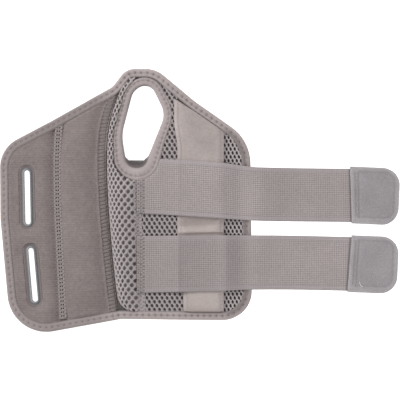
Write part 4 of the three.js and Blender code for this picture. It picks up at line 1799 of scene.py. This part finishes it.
@dataclass
class Pocket:
    """The satin cover of the stay pocket: a long pillow with sewn hems and a soft fold between the straps."""

    pattern: Pattern
    stay: StayArch
    node: str = "splint_pocket"
    hem: float = 3.2
    hem_rise: float = 0.08
    draw: float = 4.6
    flare: float = 2.4
    fold_y: float = -22.8
    crease_y: float = -16.0
    strap_shadow_y: float = -25.4
    cover_inset: float = 2.4
    stitch_pitch: float = 2.6

    def left(self, y: Array) -> Array:
        """X of the left edge, which draws in towards the elbow end and lies out a little beside the thumb."""
        return self.pattern.pocket_left + self.draw * ease(-44, -76, y) - self._flare(y)

    def _flare(self, y: Array) -> Array:
        """How far the left edge lies out."""
        return self.flare * ease(38, 60, y)

    def _from_side(self, places: Array) -> Array:
        """Distance of places from the nearer side of the pocket."""
        return np.minimum(places[:, 0] - self.left(places[:, 1]), self.pattern.pocket_right - places[:, 0])

    def covers(self, places: Array) -> Array:
        """Whether places lie well under the pocket."""
        return self._from_side(places) > self.cover_inset

    def build(self) -> None:
        """Swell the cover between its hems and fold it."""
        self.pad = PaddedPanel(self.node, "pocket_satin", rounds=6, cap=0.7, fill=0.3)
        self.pad.build(self._held, self._fold)

    def _held(self, places: Array) -> Array:
        """How firmly the hems hold the cover."""
        return 1 - ease(self.hem, self.hem + 5, self._from_side(places))

    def _fold(self, piece: Piece) -> None:
        """Raise the hems and the fold, press the creases in, and mark painted light on the fold and painted
        shade above it.
        """
        places = places_of(piece)
        x, y = places[:, 0], places[:, 1]
        x -= self._flare(y) * (1 - ease(0, 14, x - self.pattern.pocket_left))
        facing = ease(0.3, 0.8, normals_of(piece)[:, 2])
        from_side = self._from_side(places)
        inner = ease(self.hem - 0.4, self.hem + 0.8, from_side)
        middle = ease(self.hem, self.hem + 5, from_side)
        wide = facing * ease(0.2, 2.0, from_side)
        sway = 0.5 * np.sin(x / 9.0)
        fold = hump(y, self.fold_y + sway, 2.6)
        crease = hump(y, self.crease_y + sway, 3.2)
        # Painted shadow line cast by the lower strap's upper edge.
        tuck = hump(y, self.strap_shadow_y + 0.02 * (x + 17), 0.6)
        ripple = 0.2 * np.sin(y / 7.3 + 0.8 * np.sin(x / 11.0)) * np.sin(x / 6.1 + 0.5)
        places[:, 2] += facing * (self.hem_rise * (1 - inner) + middle * (fold - crease + ripple - 0.1))
        line = hump(from_side, self.hem, 0.55) * facing
        dots = 0.5 + 0.5 * np.sin(y * 2 * math.pi / self.stitch_pitch)
        elbow = ease(-60, -70, y)
        seen = np.where(x < 0, ease(20, 34, y) + 0.4 * elbow, hump(y, -19, 5))
        # Painted shade on the slope above the fold, below the upper strap.
        above = ease(-19.8, -18.2, y - sway) * (1 - ease(-11, -8, y))
        hollow = wide * np.maximum(0.27 * above, 0.95 * tuck)
        sewn = seen * line * (0.12 + 0.4 * dots)
        # Painted shade above the fold and along the lower strap's edge, the hem's stitch line, and darker
        # towards the bottom.
        mark(piece, "shade", np.maximum.reduce([sewn, hollow, 0.25 * ease(-78, -85, y)]))
        # Painted light on the fold's crest, and paler towards the elbow end.
        mark(piece, "pale", wide * np.maximum(0.26 * fold, 0.12 * elbow))
        move_to(piece, places)

    def dress(self, threads: Threads) -> None:
        """Finish the cover and sew its hems."""
        self.pad.dress(SatinFinish().material())
        surface = Surface(self.pad.piece)
        y = np.arange(-84.0, 92.0, self.stitch_pitch)
        for x in (self.left(y) + self.hem, np.full(len(y), self.pattern.pocket_right - self.hem)):
            stood = surface.stand(joined(x, y), 0.02)
            dent(self.pad.piece, stood, 0.7, 0.2)
            threads.lay(stood, np.array([0.0, 1.0]), 1.4, 0.3)


@dataclass
class Strap:
    """An elastic strap: webbing with ribs and picks, sewn to the mesh at one end."""

    node: str
    run_rows: Corners
    stay: StayArch
    hole: Loop
    pattern: Pattern
    # Painted shade along the strap by x: the crease at the pocket's edge, the lower strap's fall down the
    # flank, and darker stretches.
    tone: Curve
    thick: float = 1.7
    rib_pitch: float = 1.5
    pick_pitch: float = 1.7
    relief: float = 0.05
    selvedge: float = 3.4
    droop: float = 0.3
    tuck: float = 3.0
    tuck_depth: float = 0.85
    tuck_search: float = 26.0
    # X and lean of the painted shadow line beside the tab's mouth.
    mouth: tuple[float, float] = (113.6, -0.03)
    needles: NeedleRows = NeedleRows((1.0, 3.1, 5.2), 2.6, 0.55, 0.0, 0.2, 0.9, 1.9)
    lift: Curve = Curve((
        (-46.4, 4.75), (-26, 4.9), (-19.5, 5.7), (-14, 7.4), (15, 7.4), (22, 6.5), (31, 5.0), (40, 4.75),
        (56, 2.3), (76, 0.25), (98, 0.2), (112, 1.15), (125, 1.15),
    ))

    def middle(self, x: Array) -> Array:
        """Y of the strap's middle line."""
        return Curve([(row[0], row[1]) for row in self.run_rows])(x)

    def width(self, x: Array) -> Array:
        """Width of the strap."""
        return Curve([(row[0], row[2]) for row in self.run_rows])(x)

    def face(self, x: Array, y: Array) -> Array:
        """Height of the strap's upper face, tucked down beside the thumb hole's tape."""
        height = self.lift(x) + self.stay.lift(x) + self.thick
        places = joined(x, y)
        return height - self.tuck_depth * (1 - ease(-0.8, 2.2, self._from_tape(places)))

    def _from_tape(self, places: Array) -> Array:
        """Distance of places from the outer edge of the thumb hole's tape."""
        return self.hole.distance(places) - self.pattern.thumb_lip(places[:, 1])

    def _row_start(self, across: Array) -> Array:
        """X where rows along the strap begin: at its sewn end, or tucked under the thumb hole's tape."""
        start = self.run_rows[0][0]
        begin = np.full(len(across), start)
        for x in np.arange(start, start + self.tuck_search, 0.5):
            places = joined(np.full(len(across), x), self.middle(x) + across)
            hidden = self.hole.holds(places) | (self.hole.distance(places) < self.tuck)
            begin[hidden] = x + 0.5
        return begin

    def covers(self, places: Array) -> Array:
        """Whether places lie well under the strap."""
        x, y = places.T
        inside = np.abs(y - self.middle(x)) < self.width(x) / 2 - 2.2
        return inside & (x > self.run_rows[0][0] + 2.5)

    def build(self) -> None:
        """Lay a fine grid along the run, weave it and give it its thickness."""
        start, end = self.run_rows[0][0], self.run_rows[-1][0]
        wide = self.run_rows[0][2]
        ribs = round(wide / self.rib_pitch)
        picks = round((end - start) / self.pick_pitch)
        self.piece = primitive("grid", x_subdivisions=picks * 3, y_subdivisions=ribs * 3, size=2.0)
        self.piece.name = f"{self.node}_webbing"
        self.piece.data.name = self.piece.name
        flat = places_of(self.piece) * MM
        rows, row = np.unique(np.round(flat[:, 1], 5), return_inverse=True)
        begin = self._row_start(rows / 2 * wide)[row]
        x = begin + (flat[:, 0] + 1) / 2 * (end - begin)
        across = flat[:, 1] / 2 * self.width(x)
        y = self.middle(x) + across
        from_side = self.width(x) / 2 - np.abs(across)
        woven = ease(self.selvedge - 0.5, self.selvedge + 0.5, from_side)
        rib = np.sin(flat[:, 1] * math.pi * ribs)
        pick = np.sin(x * 2 * math.pi / self.pick_pitch)
        relief = self.relief * (0.55 * rib + 0.45 * pick) * woven
        border = hump(from_side, self.selvedge, 0.4)
        edge = 0.32 * (1 - ease(0, 0.9, from_side)) + 0.10 * border
        edge += self.droop * (1 - ease(0, 4.5, from_side)) * (1 - ease(30, 60, x))
        needles = self.needles.depth(x - start, across)
        needles *= self._from_tape(joined(x, y)) > 0.4
        move_to(self.piece, joined(x, y, self.face(x, y) + relief - edge - 0.3 * needles))
        mark(self.piece, "selvedge", 1 - woven)
        # Painted shade: zigzag needle holes, a line in the selvedge's border, the tab's shadow at its mouth,
        # the free edges' shadow and the tone along x.
        mouth = 0.7 * hump(x + 0.5, self.mouth[0] + self.mouth[1] * across, 0.6)
        rim = 0.4 * (1 - ease(0.1, 0.9, from_side)) * ease(36, 56, x)
        mark(self.piece, "shade", np.maximum.reduce([needles, 0.2 * border, mouth, rim, self.tone(x)]))
        self._unroll(x - start, flat[:, 1] / 2 * ribs * self.rib_pitch)
        modify(self.piece, "SOLIDIFY", thickness=(self.thick - 0.2) * MM, offset=-1.0)
        face_out(self.piece)

    def _unroll(self, along: Array, across: Array) -> None:
        """Lay the strap's own UV map out in metres."""
        mesh = self.piece.data
        layer = mesh.uv_layers.active or mesh.uv_layers.new(name="cloth")
        corners = np.zeros(len(mesh.loops), int)
        mesh.loops.foreach_get("vertex_index", corners)
        layer.data.foreach_set("uv", (joined(along, across)[corners] * MM).ravel())

    def dress(self, material: Material, threads: Threads, rests_on: list[str]) -> None:
        """Finish the strap and sew its end with a zigzag."""
        finish_piece(self.piece, material, [self.node])
        start, end, wide = self.run_rows[0][0], self.run_rows[-1][0], self.run_rows[-1][2]
        half = self.run_rows[0][2] / 2 - 1.6
        for offset in np.add(self.needles.columns[1:], self.needles.columns[:-1]) / 2:
            y = self.middle(start) + np.arange(-half, half, self.needles.pitch / 2)
            x = np.full(len(y), start + offset)
            clear = self._from_tape(joined(x, y)) > 0.6
            y, x = y[clear], x[clear]
            lean = np.where(np.arange(len(y)) % 2 == 0, 1.0, -1.0)
            stood = joined(x, y, self.face(x, y) + 0.05)
            threads.lay(stood, joined(lean, np.full(len(y), 0.65)), 1.9, 0.42)
        length = end - start
        (length + 4) * MM


@dataclass
class HookTab:
    """A hook tab folded over a strap's end, sewn round its edge and across its mouth."""

    node: str
    x: float
    y: float
    turn: float
    length: float = 37.2
    width: float = 43.0
    radius: float = 13.0
    top: float = 4.0
    box: tuple[float, float, float, float] = (6.5, 3.9, 5.2, 3.8)
    box_radius: float = 7.0
    mouth_line: float = 3.7
    hook_pitch: float = 1.35
    hook_inset: float = 1.4
    stitch_pitch: float = 2.5
    skew: float = 0.0
    settle: float = 0.0
    loose_end: Optional[tuple[float, float]] = None

    def _placed(self, local: Array) -> Array:
        """Places on the table for places on the tab, with its mouth cut askew."""
        askew = local + np.outer((0.5 + self.skew * local[:, 1]) * (1 - local[:, 0] / self.length), [1, 0])
        return self._turned(askew) + [self.x, self.y]

    def _turned(self, local: Array) -> Array:
        """Directions on the table for directions on the tab, which has settled round a little."""
        return local @ turning(self.turn + self.settle)

    def _outline(self, insets: Sequence[float], radius: float) -> Loop:
        """The tab's edge moved inwards: square at the mouth and round at the tip.

        Args:
            insets: distances from the mouth, the tip, the lower and the upper side.
            radius: radius of the round corners.

        Returns:
            The closed line.
        """
        mouth, tip, lower, upper = insets
        right, low, high = self.length - tip, lower - self.width / 2, self.width / 2 - upper
        first = arc(np.array([right - radius, low + radius]), radius, -math.pi / 2, math.pi / 2, 0.8)
        second = arc(np.array([right - radius, high - radius]), radius, 0, math.pi / 2, 0.8)
        return Loop(refined(np.vstack([first, second, [[mouth, high], [mouth, low]]]), 1.0))

    def _sewn_box(self) -> Loop:
        """The line of the stitches round the tab."""
        return self._outline(self.box, self.box_radius)

    def _sides(self) -> tuple[float, float]:
        """Lower and upper side of that line."""
        return self.box[2] - self.width / 2, self.width / 2 - self.box[3]

    def build(self) -> None:
        """Soften the tab and press its stitch lines in."""
        self.piece = soft_copy(self.node, f"{self.node}_patch", 0.5, 5)
        places = places_of(self.piece)
        local = self._local(places[:, :2])
        facing = ease(0.4, 0.9, normals_of(self.piece)[:, 2])
        sewn = self._sewn_box()
        border = sewn.distance(local)
        inside = sewn.holds(local)
        low, high = self._sides()
        x, y = local.T
        reach = ease(low - 0.5, low + 0.5, y) * (1 - ease(high - 0.5, high + 0.5, y))
        first_line = hump(x, self.mouth_line, 0.6) * reach
        seat = hump(border, 0, 0.7)
        puff = 0.22 * ease(0, 9, border) * np.cos(y / 9.0) + 0.08 * np.sin(x / 5.0)
        places[:, 2] += facing * (puff - 0.2 * seat - 0.22 * first_line)
        places[:, :2] = self._placed(local)
        move_to(self.piece, places)
        # Painted shade in the pressed stitch lines, dashed round the box; painted light on the border outside
        # it.
        dashes = 0.75 + 0.25 * np.sin((x + y) * 2 * math.pi / self.stitch_pitch)
        mark(self.piece, "shade", facing * np.maximum(0.34 * seat * dashes, 0.4 * first_line))
        mark(self.piece, "pale", np.where(inside, 0.0, ease(0.5, 2.0, border)))

    def _local(self, places: Array) -> Array:
        """Places on the tab for places on the table."""
        return (places - [self.x, self.y]) @ turning(-self.turn)

    def dress(self, material: Material, threads: Threads) -> None:
        """Finish the tab, its stitches and its hooks."""
        finish_piece(self.piece, material, [self.node])
        surface = Surface(self.piece)
        across = np.arange(*self._sides(), self.stitch_pitch)
        for x in (self.mouth_line + 0.9, self.box[0] - 0.9):
            stood = surface.stand(self._placed(joined(np.full(len(across), x), across)))
            threads.lay(stood, self._turned(np.array([0.0, 1.0])), 2.0, 0.45)
        middles, runs = self._sewn_box().spaced(self.stitch_pitch)
        threads.lay(surface.stand(self._placed(middles), -0.1), self._turned(runs), 1.4, 0.3)
        if self.loose_end:
            finish = ThreadFinish("loose_thread", linear(206, 202, 202), linear(240, 238, 237))
            loose = Threads(f"{self.node}_loose_thread", finish)
            bends = np.array(self.loose_end) + [[-0.5, 0.9], [0.1, -0.5], [1.0, -1.5]]
            loose.lay(surface.stand(bends, 0.5), np.array([[0.3, -1.0], [0.5, -1.0], [1.0, -0.6]]), 2.3, 0.8)
            loose.dress()
        self.width * MM
        self._hooks(surface, material)

    def _hooks(self, surface: Surface, material: Material) -> None:
        """Rows of tiny hooks, one modelled and copied over the face inside the stitching."""
        unit, faces = unit_of(primitive("cone", vertices=4, radius1=0.24, radius2=0.12, depth=0.42))
        unit[unit[:, 2] > 0, 0] += 0.22
        steps_x = np.arange(1.2, self.length - 1.0, self.hook_pitch)
        steps_y = np.arange(-self.width / 2 + 1.2, self.width / 2 - 1.0, self.hook_pitch * 0.8)
        half = 0.5 * self.hook_pitch
        local = np.array([(x + half * (row % 2), y) for row, y in enumerate(steps_y) for x in steps_x])
        rim = self._outline([self.hook_inset] * 4, self.radius - self.hook_inset)
        kept = rim.holds(local) & (self._sewn_box().distance(local) > 0.9)
        stood = surface.stand(self._placed(local[kept]), 0.12)
        finish_piece(copies(f"{self.node}_hooks", stood[:, None] + unit[None], faces), material)


@dataclass
class Studio:
    """White table, soft light from the left and above, and a camera looking straight down."""

    frame_width: float = 302.0
    camera_height: float = 1.6
    sensor: float = 36.0
    table_side: float = 6.0
    table_low: float = -0.0002
    sky: float = 0.4

    def build(self) -> None:
        """Set the table, lights and camera."""
        table = primitive("grid", x_subdivisions=8, y_subdivisions=8, size=self.table_side)
        table.name = "table"
        places = places_of(table) * MM
        places[:, 2] = self.table_low
        table.data.vertices.foreach_set("co", places.ravel())
        table.data.materials.append(TableFinish().material())
        self._light("key", (-1.15, 0.7, 0.85), 0.8, 18.5)
        self._light("fill", (0.95, -0.5, 1.1), 1.4, 8.5)
        world = bpy.data.worlds.new("studio")
        world.use_nodes = True
        sky = world.node_tree.nodes["Background"].inputs
        sky["Color"].default_value = (1, 1, 1, 1)
        sky["Strength"].default_value = self.sky
        bpy.context.scene.world = world
        bpy.context.scene.view_settings.view_transform = "Standard"
        lens = bpy.data.cameras.new("camera")
        lens.sensor_width = self.sensor
        lens.lens = self.sensor * self.camera_height / (self.frame_width * MM)
        camera = placed("camera", lens)
        camera.location = (0, 0, self.camera_height)
        bpy.context.scene.camera = camera

    @staticmethod
    def _light(name: str, place: tuple[float, float, float], size: float, power: float) -> None:
        """A square soft light aimed at the brace.

        Args:
            name: its name.
            place: where it stands, in metres.
            size: its side, in metres.
            power: its power, in watts.
        """
        lamp = bpy.data.lights.new(name, "AREA")
        lamp.size = size
        lamp.energy = power
        made = placed(name, lamp)
        made.location = place
        x, y, z = place
        made.rotation_euler = (math.atan2(math.hypot(x, y), z), 0, math.atan2(y, x) + math.pi / 2)


def main() -> None:
    """Set the studio up, then build the brace from its panels outwards."""
    logging.basicConfig(level=logging.INFO, format="%(name)s: %(message)s")
    pattern = Pattern()
    outline = pattern.outline()
    hole = pattern.thumb_hole()
    stay = StayArch()
    # Each strap's last table is its painted shade along x.
    upper = Strap(
        "strap_upper", ((-47.4, 11.0, 42), (10, 7.6, 42), (45, 4.5, 40.3), (125, 3.3, 40.1)),
        stay, hole, pattern,
        Curve(((-48, 0.12), (-17, 0.12), (-15.2, 0.18), (-13, 0.04), (14, 0.01), (42, 0.0), (60, 0.09),
               (125, 0.09))))
    lower = Strap(
        "strap_lower", ((-47.4, -48.5, 43), (10, -47.4, 42), (45, -47.0, 40.8), (125, -48.4, 40.5)),
        stay, hole, pattern,
        Curve(((-48, 0.17), (-17, 0.18), (-15.2, 0.38), (-13.4, 0.24), (9, 0.19), (17, 0.04), (18.8, 0.02),
               (20.4, 0.2), (32, 0.2), (40, 0.04), (125, 0.01))), mouth=(112.3, 0.07))
    Studio().build()
    shell = Shell(pattern, outline)
    shell.build()
    shell.dress()
    pocket = Pocket(pattern, stay)
    mesh = MeshFace(pattern, outline, hole, stay, covered=[pocket.covers, upper.covers, lower.covers])
    mesh.build()
    mesh.dress()
    thread = ThreadFinish("sewing_thread", linear(132, 122, 121), linear(178, 168, 166))
    sewing = Threads("sewing_threads", thread)
    pocket.build()
    pocket.dress(sewing)
    tape = TapeFinish().material()
    for binding in (EdgeTape(pattern, stay, outline), ThumbTape(pattern, stay, hole)):
        binding.build()
        binding.dress(tape, sewing)
    webbing = WebbingFinish().material()
    for strap in (upper, lower):
        strap.build()
        strap.dress(webbing, sewing, ["mesh_panel", "splint_pocket"])
    hooks = HookFinish().material()
    tabs = [
        HookTab("hook_tab_upper", 113.0, 3.9, -1.6, skew=-0.078, settle=-1.0),
        HookTab("hook_tab_lower", 112.0, -47.9, -2.4, skew=0.035, loose_end=(120.8, -63.4)),
    ]
    for tab in tabs:
        tab.build()
        tab.dress(hooks, sewing)
    sewing.dress()


if __name__ == "__main__":
    main()
